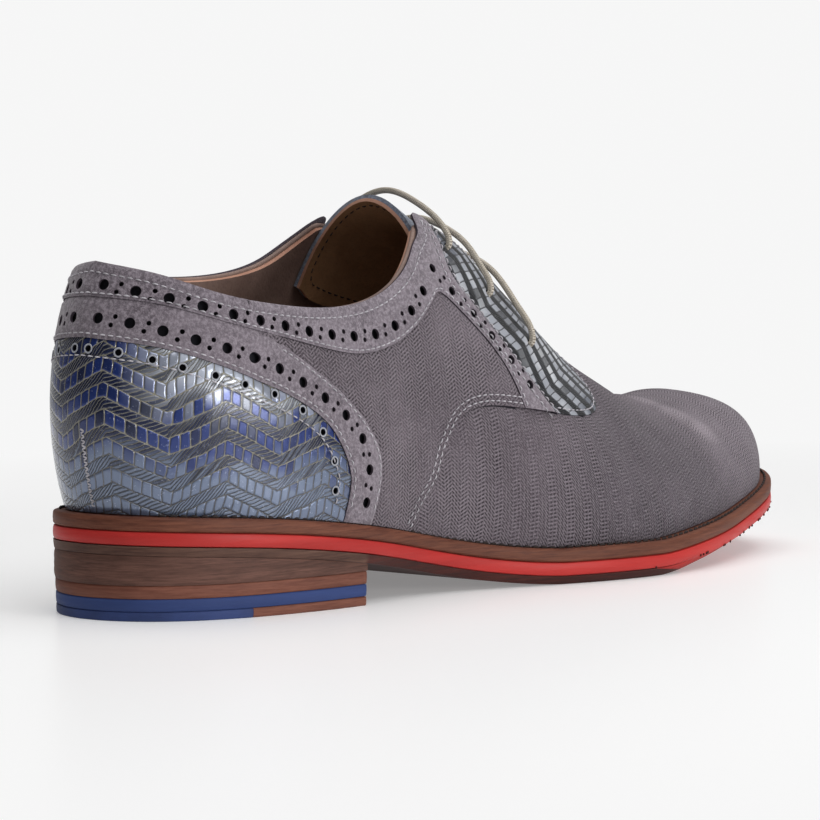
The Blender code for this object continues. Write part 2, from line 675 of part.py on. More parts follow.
def facing(name, hand):
    """The strip that holds the eyelets, along one side of the throat."""
    count = 16
    low = boundary(FACING_BACK, count, hand)
    stations = np.linspace(0.402, 0.563, count)
    places = stations if hand < 0 else 2 - stations
    high = np.array([(place, beside_ridge(place, FACING_FRONT)) for place in places])
    left = walk(np.vstack([boundary(FACING_END, 7, hand), high[0]]), 6)
    left[0], left[-1] = low[0], high[0]
    panel(name, fill(low, high, left, straight(low[-1], high[-1], 6)), FACING_STEP, "facing")


def bands_and_counter():
    """The suede bands round collar and counter, and the heel counter between them and the welt."""
    outer_low, outer_high = band_edges(-1)
    inner_low, inner_high = band_edges(1)
    low = round_back(outer_low, 46, inner_low)
    high = round_back(outer_high, 46, inner_high)
    left = straight(low[0], high[0], 3)
    right = straight(low[-1], high[-1], 3)
    panel("collar_band", fill(low, high, left, right), BAND_STEP, "suede")

    low = round_back(COUNTER_EDGE_FRONT + COUNTER_EDGE_TOP[1:], 40)
    high = round_back(COUNTER_FRONT + COUNTER_TOP[1:], 40)
    left = straight(low[0], high[0], 3)
    right = straight(low[-1], high[-1], 3)
    panel("counter_band", fill(low, high, left, right), BAND_STEP, "suede")

    high = round_back(COUNTER_EDGE_TOP, 18)
    left = boundary(COUNTER_EDGE_FRONT, 6, -1)
    right = boundary(COUNTER_EDGE_FRONT, 6, 1)
    left[-1], right[-1] = high[0], high[-1]
    low = straight(left[0], right[0], len(high))
    panel("heel_counter", fill(low, high, left, right), COUNTER_STEP, "woven")


def tongue():
    """The tongue, under the throat from the vamp to above the facings."""
    rows, columns = 11, 13
    side = np.linspace(-1, 1, columns)
    station = np.linspace(0.385, 0.567, rows)[:, None] + 0.014*side**2*np.linspace(0, 1, rows)[:, None]**3
    reach = smooth([r[0] for r in TONGUE_REACH], [r[1] for r in TONGUE_REACH], station)[..., 0]
    share = 1 - reach*np.abs(side)
    place = np.where(side < 0, station, 2 - station)
    depth = np.full(place.shape, PANEL_THICK + PANEL_GAP + WALL + TONGUE_GAP)
    points = layer(place, share, depth)
    obj = add_mesh("tongue", points.reshape(-1, 3), grid_faces(rows, columns), "tongue")
    face_outward(obj)
    thicken(obj, TONGUE_THICK)


def insole():
    """The sole's inner face, inside the foot of the upper's wall."""
    depth = PANEL_THICK + PANEL_GAP + WALL + INSOLE_GAP
    places = rim_places()
    loop = len(places)
    feet = surface(places, 0.0)
    normal = outward(places, np.zeros(loop))
    normal[:, 2] = 0
    normal /= np.linalg.norm(normal, axis=1)[:, None]
    edge = feet - normal*depth
    middle = spine(places)
    points = []
    for lift in (GAP, INSOLE_THICK):
        points += [(x, y, seat(x) + lift) for x, y, _ in edge]
    for lift in (GAP, INSOLE_THICK):
        points += [(x, y, seat(x) + lift) for x, y in middle]
    faces = [(i, (i + 1) % loop, loop + (i + 1) % loop, loop + i) for i in range(loop)]
    for first in (0, loop):
        faces += cap(middle, first, first + 2*loop, loop)
    add_mesh("insole", points, faces, "insole")


def laces():
    """Three bars of lace from eyelet to eyelet, clear of everything they cross."""
    for number, (station, rise) in enumerate(EYELETS, 1):
        lift = FACING_STEP + LACE_DIAMETER/2 + LACE_GAP
        path = []
        for place in (station, 2 - station):
            edge = beside_ridge(place, FACING_FRONT)
            share = np.concatenate([np.linspace(share_at_rise(place, rise), edge, 5), [(edge + 1)/2, 1]])
            sag = np.array([0, 0, 0, 0, 0, LACE_SAG*0.7, LACE_SAG])
            path.append(layer(np.full(7, place), share, sag - lift))
        path[1] = path[1][-2::-1]
        path = np.vstack(path)
        run = np.r_[0, np.cumsum(np.linalg.norm(np.diff(path, axis=0), axis=1))]
        at = np.linspace(0, run[-1], 20)
        path = np.column_stack([np.interp(at, run, path[:, k]) for k in range(3)]) - MIDDLE
        curve = bpy.data.curves.new("lace_bar_%d" % number, "CURVE")
        curve.dimensions = "3D"
        curve.bevel_depth = LACE_DIAMETER/2
        curve.bevel_resolution = 2
        curve.use_fill_caps = True
        spline = curve.splines.new("POLY")
        spline.points.add(len(path) - 1)
        for point, spot in zip(spline.points, path):
            point.co = (*spot, 1)
        curve.materials.append(material(curve.name, "lace"))
        SHOE.objects.link(bpy.data.objects.new(curve.name, curve))


def sole():
    """Outsole, midsole, welt and the layers of the heel."""
    whole = rim_places()
    over_outsole = lambda x: underside(x) + OUTSOLE_THICK
    over_midsole = lambda x: underside(x) + OUTSOLE_THICK + MIDSOLE_THICK
    bevel = [(OUTSOLE_BEVEL, 0.0), (OUTSOLE_BEVEL*0.45, 0.6), (OUTSOLE_BEVEL*0.3, 1.0)]
    rounded = [(EDGE_ROUND, 0.0), (0.0, 0.2), (0.0, 0.8), (EDGE_ROUND, 1.0)]
    plate("outsole", bevel, underside, lambda x: over_outsole(x) - GAP, "outsole", whole)
    plate("midsole", rounded, over_outsole, lambda x: over_midsole(x) - GAP, "midsole", whole)
    plate("welt", rounded, over_midsole, seat, "welt", whole)

    front = float(station_at(HEEL_LENGTH))
    tan_top = TOP_PIECE_THICK + BLUE_LIFT_THICK + TAN_LIFT_THICK
    plate("heel_stack", [(HEEL_TAPER*0.5, 0.0), (HEEL_TAPER*0.5, 1.0)], lambda x: tan_top + 0*x,
          lambda x: underside(x) - GAP, "heel_stack", rim_places(front, 1.0, True))
    blue_top = TOP_PIECE_THICK + BLUE_LIFT_THICK
    heel_block("heel_lift_tan", blue_top, tan_top - GAP, -1, HEEL_LENGTH, "heel_lift_tan")
    heel_block("heel_lift_blue", TOP_PIECE_THICK, blue_top - GAP, -1, HEEL_LENGTH, "heel_lift_blue")
    top = TOP_PIECE_THICK - GAP
    heel_block("heel_rubber", 0, top, -1, RUBBER_LENGTH - GAP, "heel_rubber")
    heel_block("heel_leather", 0, top, RUBBER_LENGTH, HEEL_LENGTH, "heel_leather")


clear_scene()
SHOE = bpy.data.collections.new("lace_up_shoe")
bpy.context.scene.collection.children.link(SHOE)
sole()
insole()
upper_body()
tongue()
quarter("quarter_outer", -1)
quarter("quarter_inner", 1)
bands_and_counter()
facing("facing_outer", -1)
facing("facing_inner", 1)
laces()
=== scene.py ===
"""The looks of the lace-up shoe: leather, suede, print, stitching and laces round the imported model.

The upper's surface is the one the solids were cut from: it rises from the welt to the crown of the last.
Lengths are metres; the shoe points along +X with its outer side towards -Y.
"""

from math import radians, sin, cos, pi

import bmesh
import bpy
import numpy as np
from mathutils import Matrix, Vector, geometry


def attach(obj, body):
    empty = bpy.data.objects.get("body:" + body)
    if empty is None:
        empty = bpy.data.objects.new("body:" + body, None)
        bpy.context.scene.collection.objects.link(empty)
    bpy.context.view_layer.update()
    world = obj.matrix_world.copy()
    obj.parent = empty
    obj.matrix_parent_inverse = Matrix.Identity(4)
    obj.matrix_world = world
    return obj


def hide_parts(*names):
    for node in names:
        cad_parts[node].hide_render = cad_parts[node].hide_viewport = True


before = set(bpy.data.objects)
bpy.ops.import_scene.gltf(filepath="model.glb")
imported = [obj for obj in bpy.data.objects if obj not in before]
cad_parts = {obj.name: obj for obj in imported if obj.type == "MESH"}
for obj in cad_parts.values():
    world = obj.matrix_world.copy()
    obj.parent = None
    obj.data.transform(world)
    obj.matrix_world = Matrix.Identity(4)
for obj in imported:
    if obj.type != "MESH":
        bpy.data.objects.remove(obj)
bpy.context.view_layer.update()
rng = np.random.default_rng(7)

# Sole sizes
LENGTH = 0.3065
BALL_WIDTH = 0.112
HEEL_LENGTH = 0.0755
HEEL_RISE = 0.0184
TOE_RISE = 0.0145
OUTSOLE_THICK = 0.0026
MIDSOLE_THICK = 0.0041
WELT_THICK = 0.0040
TOP_PIECE_THICK = 0.0027
BLUE_LIFT_THICK = 0.0035
TAN_LIFT_THICK = 0.0037
RUBBER_LENGTH = 0.0335
HEEL_TAPER = 0.0006
OUTSOLE_BEVEL = 0.0022
EDGE_ROUND = 0.0006

# Upper sizes
UPPER_HEIGHT = 0.100
WALL = 0.0022
PANEL_THICK = 0.0010
TONGUE_THICK = 0.0024
LACE_DIAMETER = 0.0019

GAP = 0.0003
PANEL_GAP = 0.0008
TONGUE_GAP = 0.0005
# How far the laces run over the upper's surface between the facings, and how far they sag there
LACE_LIFT = 0.0018
LACE_SAG = 0.0012

# Sole outline from the toe tip back along the outer side to the heel and forward along the inner side.
# Along is a share of LENGTH from the back of the heel, across a share of BALL_WIDTH.
OUTLINE = [
    # along, across
    (1.000, 0.040), (0.985, -0.105), (0.952, -0.215), (0.900, -0.308), (0.830, -0.378),
    (0.760, -0.438), (0.690, -0.478), (0.620, -0.486), (0.545, -0.456), (0.470, -0.390),
    (0.395, -0.334), (0.320, -0.320), (0.245, -0.334), (0.165, -0.320), (0.090, -0.275),
    (0.040, -0.205), (0.010, -0.108), (0.000, 0.010), (0.011, 0.128), (0.042, 0.222),
    (0.100, 0.282), (0.175, 0.265), (0.250, 0.225), (0.325, 0.210), (0.400, 0.245),
    (0.470, 0.318), (0.540, 0.385), (0.615, 0.462), (0.690, 0.508), (0.760, 0.498),
    (0.830, 0.444), (0.900, 0.380), (0.950, 0.305), (0.985, 0.195),
]
# Height of the sole's underside over the floor, as shares of HEEL_RISE and TOE_RISE
UNDERSIDE = [
    # along, heel, toe
    (0.00, 1.000, 0.000), (0.12, 0.890, 0.000), (0.24, 0.670, 0.000), (0.30, 0.510, 0.000),
    (0.36, 0.320, 0.000), (0.42, 0.145, 0.000), (0.48, 0.025, 0.000), (0.54, -0.020, 0.000),
    (0.62, 0.000, -0.020), (0.70, 0.000, 0.120), (0.80, 0.000, 0.340), (0.90, 0.000, 0.690),
    (1.00, 0.000, 1.000),
]

# Wall sections of the upper. Station 0 is at the toe tip, 1 at the back of the heel.
# Sections fan round the toe centre up to TOE_TURN and round the heel centre from HEEL_TURN on.
TOE_CENTRE = (0.885, 0.038)
HEEL_CENTRE = (0.115, 0.000)
TOE_TURN = 0.2
HEEL_TURN = 0.8
TOE_SLOPE = -0.13
# along: crown, share of LENGTH. across: crown, share of BALL_WIDTH. rise: crown over the welt, share
# of UPPER_HEIGHT, as are the reaches of the curve's handles. Leans are degrees. inset: foot from the
# sole's edge, share of BALL_WIDTH.
OUTER_WALL = [
    # station, along, across, rise, crown_lean, crown_reach, foot_lean, foot_reach, inset
    (0.000, 0.885, 0.038, 0.308, 0, 0.250, 3, 0.170, 0.034),
    (0.100, 0.885, 0.038, 0.308, 0, 0.250, 4, 0.165, 0.034),
    (0.200, 0.885, 0.038, 0.308, 0, 0.230, 6, 0.145, 0.036),
    (0.275, 0.790, 0.030, 0.352, 0, 0.230, 8, 0.140, 0.040),
    (0.345, 0.700, 0.022, 0.475, 0, 0.220, 10, 0.160, 0.042),
    (0.400, 0.630, 0.020, 0.610, 2, 0.230, 12, 0.180, 0.040),
    (0.480, 0.527, 0.030, 0.855, 4, 0.310, 14, 0.220, 0.032),
    (0.560, 0.425, 0.045, 1.045, 8, 0.380, 12, 0.270, 0.022),
    (0.590, 0.385, 0.040, 1.090, 16, 0.390, 10, 0.270, 0.019),
    (0.620, 0.348, 0.000, 1.115, 32, 0.400, 9, 0.270, 0.016),
    (0.700, 0.245, -0.135, 0.990, 66, 0.360, 11, 0.240, 0.014),
    (0.800, 0.118, -0.150, 0.880, 64, 0.320, 12, 0.240, 0.022),
    (0.900, 0.072, -0.085, 0.830, 60, 0.330, 15, 0.230, 0.030),
    (1.000, 0.046, 0.030, 0.815, 58, 0.330, 17, 0.225, 0.033),
]
INNER_WALL = [
    (0.000, 0.885, 0.038, 0.308, 0, 0.250, 3, 0.170, 0.034),
    (0.100, 0.885, 0.038, 0.308, 0, 0.255, 4, 0.170, 0.034),
    (0.200, 0.885, 0.038, 0.308, 0, 0.250, 6, 0.155, 0.036),
    (0.275, 0.790, 0.030, 0.352, 0, 0.240, 7, 0.140, 0.040),
    (0.345, 0.700, 0.022, 0.475, 0, 0.230, 8, 0.160, 0.042),
    (0.400, 0.630, 0.020, 0.610, 2, 0.250, 12, 0.180, 0.038),
    (0.480, 0.527, 0.030, 0.855, 4, 0.330, 26, 0.240, 0.028),
    (0.560, 0.425, 0.045, 1.045, 8, 0.390, 46, 0.290, 0.016),
    (0.590, 0.385, 0.052, 1.090, 20, 0.420, 54, 0.310, 0.014),
    (0.620, 0.348, 0.085, 1.090, 42, 0.450, 57, 0.330, 0.014),
    (0.700, 0.245, 0.180, 0.990, 60, 0.410, 46, 0.320, 0.014),
    (0.800, 0.118, 0.187, 0.880, 64, 0.320, 18, 0.240, 0.022),
    (0.900, 0.072, 0.135, 0.830, 60, 0.330, 16, 0.230, 0.030),
    (1.000, 0.046, 0.030, 0.815, 58, 0.330, 17, 0.225, 0.033),
]

# Edges on the upper, as stations and rises over the welt in shares of UPPER_HEIGHT
OUTER_COLLAR = [
    # station, rise
    (0.550, 1.080), (0.562, 1.010), (0.578, 0.935), (0.600, 0.850), (0.630, 0.740), (0.665, 0.655),
    (0.700, 0.612), (0.735, 0.594), (0.770, 0.592), (0.805, 0.600), (0.860, 0.630), (0.920, 0.663),
    (1.000, 0.690),
]
INNER_COLLAR = [
    (0.545, 1.080), (0.560, 0.990), (0.575, 0.920), (0.605, 0.820), (0.640, 0.745), (0.680, 0.695),
    (0.725, 0.670), (0.765, 0.658), (0.805, 0.648), (0.860, 0.650), (0.920, 0.668), (1.000, 0.690),
]
# Half width of the throat either side of the ridge, in shares of BALL_WIDTH
THROAT = [
    # along, half_width
    (0.360, 0.220), (0.430, 0.172), (0.500, 0.124), (0.550, 0.096), (0.580, 0.074), (0.594, 0.045),
    (0.600, 0.000),
]
# Where the facings' front edges run in the solids, by the same measure; the laces lift off there
FACING_FRONT = [
    # along, half_width
    (0.360, 0.250), (0.430, 0.190), (0.500, 0.140), (0.560, 0.112), (0.620, 0.094), (0.660, 0.090),
]
FACING_BACK = [
    # station, rise
    (0.482, 0.398), (0.500, 0.486), (0.522, 0.591), (0.545, 0.693), (0.5640, 0.798), (0.5615, 0.885),
    (0.5600, 0.930),
]
FACING_END = [(0.482, 0.398), (0.455, 0.385), (0.428, 0.387), (0.410, 0.410), (0.399, 0.460)]
SEAM = [
    # station, rise
    (0.640, 0.000), (0.628, 0.087), (0.613, 0.169), (0.605, 0.249), (0.595, 0.315), (0.580, 0.377),
    (0.555, 0.410), (0.520, 0.412), (0.482, 0.398),
]
# The band of suede runs up the facing, turns at the corner and goes back round the collar
COLLAR_BAND = [
    # low_station, low_rise, high_station, high_rise (None where it follows the collar)
    (0.520, 0.412, 0.486, 0.398), (0.527, 0.496, 0.503, 0.486), (0.545, 0.598, 0.525, 0.591),
    (0.566, 0.671, 0.548, 0.693), (0.580, 0.712, 0.5670, 0.798), (0.586, 0.722, 0.5640, 0.885),
    (0.589, 0.724, 0.5635, 0.925), (0.5905, 0.721, 0.5665, 0.948), (0.592, 0.716, 0.574, None),
    (0.596, 0.700, 0.585, None),
    (0.602, 0.678, 0.598, None), (0.608, 0.656, 0.613, None), (0.635, 0.572, 0.640, None),
    (0.667, 0.510, 0.670, None), (0.698, 0.484, 0.700, None), (0.730, 0.488, 0.733, None),
    (0.770, 0.507, 0.770, None), (0.840, 0.545, 0.840, None), (0.920, 0.584, 0.920, None),
    (1.000, 0.598, 1.000, None),
]
COUNTER_FRONT = [(0.690, 0.000), (0.684, 0.075), (0.680, 0.155), (0.683, 0.230), (0.695, 0.295)]
COUNTER_TOP = [
    (0.695, 0.295), (0.718, 0.368), (0.743, 0.425), (0.765, 0.470), (0.800, 0.519), (0.850, 0.544),
    (0.920, 0.577), (1.000, 0.592),
]
COUNTER_EDGE_FRONT = [(0.720, 0.000), (0.717, 0.060), (0.715, 0.140), (0.722, 0.210)]
COUNTER_EDGE_TOP = [
    (0.722, 0.210), (0.737, 0.280), (0.763, 0.334), (0.800, 0.382), (0.860, 0.432), (0.920, 0.466),
    (1.000, 0.485),
]
# How far down each side of the ridge the tongue goes, as a share of the section
TONGUE_REACH = [
    # station, reach
    (0.380, 0.200), (0.430, 0.290), (0.480, 0.340), (0.540, 0.360), (0.590, 0.350),
]
# Eyelets on the outer facing; the inner ones are opposite
EYELETS = [(0.552, 0.874), (0.520, 0.748), (0.485, 0.602)]

FINE = 1601


def run_along(points):
    """Distance of each point from the first, along the line."""
    return np.r_[0, np.cumsum(np.linalg.norm(np.diff(points, axis=0), axis=1))]


def slopes(at, rows, closed):
    """Slopes at its rows of the smooth cubic curve through them."""
    count = len(rows)
    step = np.diff(at)
    lean = np.diff(rows, axis=0)/step[:, None]
    left = np.zeros((count, count))
    right = np.zeros_like(rows)
    for i in range(1, count - 1):
        left[i, i - 1:i + 2] = step[i], 2*(step[i - 1] + step[i]), step[i - 1]
        right[i] = 3*(step[i]*lean[i - 1] + step[i - 1]*lean[i])
    if closed:
        left[0, 0], left[0, -1] = 1, -1
        left[-1, 0], left[-1, 1] = 2*step[-1], step[-1]
        left[-1, -2], left[-1, -1] = step[0], 2*step[0]
        right[-1] = 3*(step[0]*lean[-1] + step[-1]*lean[0])
    else:
        left[0, 0], left[0, 1], right[0] = 2, 1, 3*lean[0]
        left[-1, -1], left[-1, -2], right[-1] = 2, 1, 3*lean[-1]
    return np.linalg.solve(left, right)


def smooth(at, rows, places, closed=False):
    """Values at the given places of the smooth curve through a table's rows."""
    at = np.asarray(at, float)
    rows = np.asarray(rows, float).reshape(len(at), -1)
    slope = slopes(at, rows, closed)
    places = np.clip(np.asarray(places, float), at[0], at[-1])
    i = np.clip(np.searchsorted(at, places) - 1, 0, len(at) - 2)
    step = (at[i + 1] - at[i])[..., None]
    t = (places[..., None] - at[i][..., None])/step
    return ((1 + 2*t)*(1 - t)**2*rows[i] + t*(1 - t)**2*step*slope[i]
            + t*t*(3 - 2*t)*rows[i + 1] - t*t*(1 - t)*step*slope[i + 1])


def walk(points, count):
    """Even steps along the smooth curve through points."""
    points = np.asarray(points, float)
    run = run_along(points)
    return smooth(run/run[-1], points, np.linspace(0, 1, count))


def closed_outline():
    """The sole's outline as 720 evenly spaced points."""
    points = np.array(OUTLINE + OUTLINE[:1])*(LENGTH, BALL_WIDTH)
    run = run_along(points)
    return smooth(run, points, np.linspace(0, run[-1], 720, endpoint=False), closed=True)


EDGE = closed_outline()
MIDDLE = np.array([LENGTH/2, (EDGE[:, 1].min() + EDGE[:, 1].max())/2, 0])


def underside(x):
    """Height of the sole's underside over the floor."""
    rows = np.array(UNDERSIDE)
    height = rows[:, 1]*HEEL_RISE + rows[:, 2]*TOE_RISE
    return np.maximum(smooth(rows[:, 0]*LENGTH, height, x)[..., 0], 0)


def seat(x):
    """Height of the welt's top, on which the upper stands."""
    return underside(x) + OUTSOLE_THICK + MIDSOLE_THICK + WELT_THICK


def edge_point(centre, way):
    """Where a ray from centre leaves the sole's outline."""
    reach = EDGE - centre
    side = way[0]*reach[:, 1] - way[1]*reach[:, 0]
    following = np.roll(side, -1)
    k = np.where((side*following <= 0) & (reach @ way > 0))[0][0]
    share = side[k]/(side[k] - following[k])
    return EDGE[k]*(1 - share) + EDGE[(k + 1) % len(EDGE)]*share


def ray(station, hand):
    """Centre and heading of a section; hand is -1 on the outer side and 1 on the inner."""
    toe = np.array(TOE_CENTRE)*(LENGTH, BALL_WIDTH)
    heel = np.array(HEEL_CENTRE)*(LENGTH, BALL_WIDTH)
    if station < TOE_TURN:
        turn = pi/2*station/TOE_TURN
        return toe, np.array([cos(turn), hand*sin(turn)])
    if station > HEEL_TURN:
        turn = pi/2*(station - HEEL_TURN)/(1 - HEEL_TURN)
        return heel, np.array([-sin(turn), hand*cos(turn)])
    share = (station - TOE_TURN)/(HEEL_TURN - TOE_TURN)
    return toe*(1 - share) + heel*share, np.array([0.0, hand])


def all_sections():
    """Bezier points of every section round the shoe: outer side 0 to 1, inner side 1 to 2."""
    inner = np.array(INNER_WALL)[::-1][1:]
    inner[:, 0] = 2 - inner[:, 0]
    rows = np.vstack([np.array(OUTER_WALL), inner])
    places = np.linspace(0, 2, FINE)
    table = smooth(rows[:, 0], rows[:, 1:], places, closed=True)
    sections = np.zeros((FINE, 4, 3))
    up = np.array([0, 0, 1.0])
    for i, place in enumerate(places):
        hand = -1 if place <= 1 else 1
        station = place if place <= 1 else 2 - place
        along, across, rise, crown_lean, crown_reach, foot_lean, foot_reach, inset = table[i]
        centre, way = ray(station, hand)
        if station <= TOE_TURN:
            along, across, rise = OUTER_WALL[0][1:4]
        elif station < HEEL_TURN:
            along = centre[0]/LENGTH
        foot = edge_point(centre, way) - way*inset*BALL_WIDTH
        foot = np.array([foot[0], foot[1], seat(foot[0]) + GAP])
        crown = np.array([along*LENGTH, across*BALL_WIDTH, 0])
        crown[2] = seat(crown[0]) + rise*UPPER_HEIGHT
        out = np.array([way[0], way[1], 0])
        low, high = radians(foot_lean), radians(crown_lean)
        dip = TOE_SLOPE*way[0] if station < TOE_TURN else 0
        sections[i, 0] = foot
        sections[i, 1] = foot + (out*sin(low) + up*cos(low))*foot_reach*UPPER_HEIGHT
        sections[i, 2] = crown + (out*cos(high) + up*(dip - sin(high)))*crown_reach*UPPER_HEIGHT
        sections[i, 3] = crown
    return sections


SECTIONS = all_sections()


def surface(place, share):
    """Points of the upper's surface; place runs 0 to 2 round the shoe, share 0 to 1 from foot to crown."""
    place, share = np.broadcast_arrays(np.asarray(place, float), np.asarray(share, float))
    at = np.clip(place, 0, 2)/2*(FINE - 1)
    i = np.clip(at.astype(int), 0, FINE - 2)
    f = (at - i)[..., None, None]
    a, b, c, d = np.moveaxis(SECTIONS[i]*(1 - f) + SECTIONS[i + 1]*f, -2, 0)
    t = share[..., None]
    return a*(1 - t)**3 + 3*b*t*(1 - t)**2 + 3*c*t*t*(1 - t) + d*t**3


def points_at(spots):
    """Points of the surface at pairs of place and share."""
    return surface(spots[:, 0], np.clip(spots[:, 1], 0, 1))


def outward(place, share):
    """Unit normals of the surface."""
    step = 0.004
    share = np.clip(share, 0, 1 - step)
    across = surface(place + step, share) - surface(place - step, share)
    above = surface(place, share + step) - surface(place, share - step)
    normal = np.cross(above, across)
    return normal/np.linalg.norm(normal, axis=-1, keepdims=True)


def layer(place, share, depth):
    """The surface moved inwards by depth; along the foot it moves level with the sole."""
    point = surface(place, share)
    normal = outward(place, share)
    crown = (np.broadcast_to(share, place.shape) > 0.999999)[..., None]
    both = normal + outward(2 - place, share)
    normal = np.where(crown, both/np.linalg.norm(both, axis=-1, keepdims=True), normal)
    depth = np.asarray(depth)[..., None]
    level = normal*(1, 1, 0)
    level /= (level**2).sum(axis=-1, keepdims=True)
    foot = (np.broadcast_to(share, place.shape) < 1e-6)[..., None]
    return point - np.where(foot, level, normal)*depth


def share_at_rise(place, rise):
    """How far up its section the surface reaches a rise over the welt."""
    t = np.linspace(0, 1, 301)
    line = surface(np.full(301, place), t)
    height = line[:, 2] - seat(line[:, 0])
    top = np.argmax(height)
    return float(np.interp(rise*UPPER_HEIGHT, height[:top + 1], t[:top + 1]))


def across_ridge(x):
    """Where the ridge of the instep lies across the shoe."""
    rows = np.array(OUTER_WALL[3:9])[::-1]
    return smooth(rows[:, 1]*LENGTH, rows[:, 2]*BALL_WIDTH, x)[..., 0]


def beside_ridge(place, table):
    """How far up its section the surface comes to the table's distance from the ridge."""
    hand = -1 if place <= 1 else 1
    x = ray(place if place <= 1 else 2 - place, hand)[0][0]
    along, half = np.array(table).T
    half = smooth(along, half, [x/LENGTH])[0, 0]*BALL_WIDTH
    t = np.linspace(0, 1, 801)
    line = surface(np.full(801, place), t)
    clear = np.where(hand*(line[:, 1] - across_ridge(line[:, 0])) >= half)[0]
    return float(t[clear[-1]])


def wall_top(place):
    """How far up its section the upper goes: to the collar, the throat or the ridge."""
    hand = -1 if place <= 1 else 1
    station = place if place <= 1 else 2 - place
    top = 1.0
    if TOE_TURN < station < 0.62 and ray(station, hand)[0][0] < THROAT[-1][0]*LENGTH:
        top = beside_ridge(place, THROAT)
    collar = OUTER_COLLAR if hand < 0 else INNER_COLLAR
    if station > collar[0][0]:
        at, rise = np.array(collar).T
        top = min(top, share_at_rise(place, smooth(at, rise, [station])[0, 0]))
    return top


def boundary(rows, count, hand):
    """Places and shares along an edge given as stations and rises."""
    line = walk(rows, count)
    places = line[:, 0] if hand < 0 else 2 - line[:, 0]
    return np.array([(place, share_at_rise(place, rise)) for place, rise in zip(places, line[:, 1])])


def collar_rise(station, hand):
    """Height of the collar over the welt, as a share of UPPER_HEIGHT."""
    at, rise = np.array(OUTER_COLLAR if hand < 0 else INNER_COLLAR).T
    return smooth(at, rise, np.asarray(station))[..., 0]


def band_share(station):
    """How far the band follows the inner collar's higher edge: fully between its corner and the heel."""
    return np.clip((0.77 - station)/0.06, 0, 1)*np.clip((station - 0.59)/0.04, 0, 1)


def band_edges(hand):
    """Lower and upper edge rows of the collar's band on one side."""
    low, high = [], []
    for low_station, low_rise, high_station, high_rise in COLLAR_BAND:
        if high_rise is None:
            high_rise = float(collar_rise(high_station, hand)) + 0.004
            extra = float(collar_rise(high_station, hand) - collar_rise(high_station, -1))
            low_rise += extra*band_share(low_station)
        low.append((low_station, low_rise))
        high.append((high_station, high_rise))
    return low, high


# Surface directions and edges

def across_and_up(place, share):
    """Directions of the surface as place and share grow."""
    step = 0.002
    share = np.clip(share, step, 1 - step)
    along = (surface(place + step, share) - surface(place - step, share))/(2*step)
    above = (surface(place, share + step) - surface(place, share - step))/(2*step)
    return along, above


def shifted(spots, way):
    """Places and shares moved by a vector that lies in the surface."""
    along, above = across_and_up(spots[:, 0], spots[:, 1])
    a = (along*along).sum(1)
    b = (along*above).sum(1)
    c = (above*above).sum(1)
    p = (way*along).sum(1)
    q = (way*above).sum(1)
    det = a*c - b*b
    return spots + np.column_stack([(c*p - b*q)/det, (a*q - b*p)/det])


def even(spots, pitch, closed=False):
    """Spots respaced evenly along their path on the surface."""
    if closed:
        spots = np.vstack([spots, spots[:1]])
    points = points_at(spots)
    run = run_along(points)
    count = max(2, int(round(run[-1]/pitch)) + 1)
    at = np.linspace(0, run[-1], count)
    made = np.column_stack([np.interp(at, run, spots[:, k]) for k in (0, 1)])
    return made[:-1] if closed else made


def beside(spots, distance, closed=False):
    """Spots moved sideways over the surface, to the left of their direction seen from outside."""
    points = points_at(spots)
    if closed:
        way = np.roll(points, -1, axis=0) - np.roll(points, 1, axis=0)
    else:
        way = np.gradient(points, axis=0)
    way /= np.linalg.norm(way, axis=1)[:, None]
    side = np.cross(outward(spots[:, 0], spots[:, 1]), way)
    return shifted(spots, side*np.asarray(distance).reshape(-1, 1))


def circle(spot, radius, count):
    """A ring of spots round one spot, true to size on the surface."""
    spot = np.asarray(spot, float)[None]
    along, _ = across_and_up(spot[:, 0], spot[:, 1])
    first = along[0]/np.linalg.norm(along[0])
    second = np.cross(outward(spot[:, 0], spot[:, 1])[0], first)
    turn = np.linspace(0, 2*pi, count, endpoint=False)[:, None]
    ring = radius*(np.cos(turn)*first + np.sin(turn)*second)
    return shifted(np.repeat(spot, count, axis=0), ring)


def turned_area(flat):
    """The area inside an outline, negative where it runs clockwise."""
    x, y = flat[:, 0], flat[:, 1]
    return 0.5*np.sum(x*np.roll(y, -1) - np.roll(x, -1)*y)


def inside(flat, points):
    """Which points lie inside a closed outline."""
    found = np.zeros(len(points), bool)
    x, y = points[:, 0], points[:, 1]
    for a, b in zip(flat, np.roll(flat, -1, axis=0)):
        crosses = (a[1] > y) != (b[1] > y)
        with np.errstate(divide="ignore", invalid="ignore"):
            at = (b[0] - a[0])*(y - a[1])/(b[1] - a[1]) + a[0]
        found ^= crosses & (x < at)
    return found


# Outlines are cut on a flat sheet, on which a place and a share are about as long as on the upper, in mm
FLAT = np.array([400.0, 100.0])


# Rows of points just inside a sheet's edge, which its rolled rim bends along
RIM_ROWS = (0.00035, 0.0009)


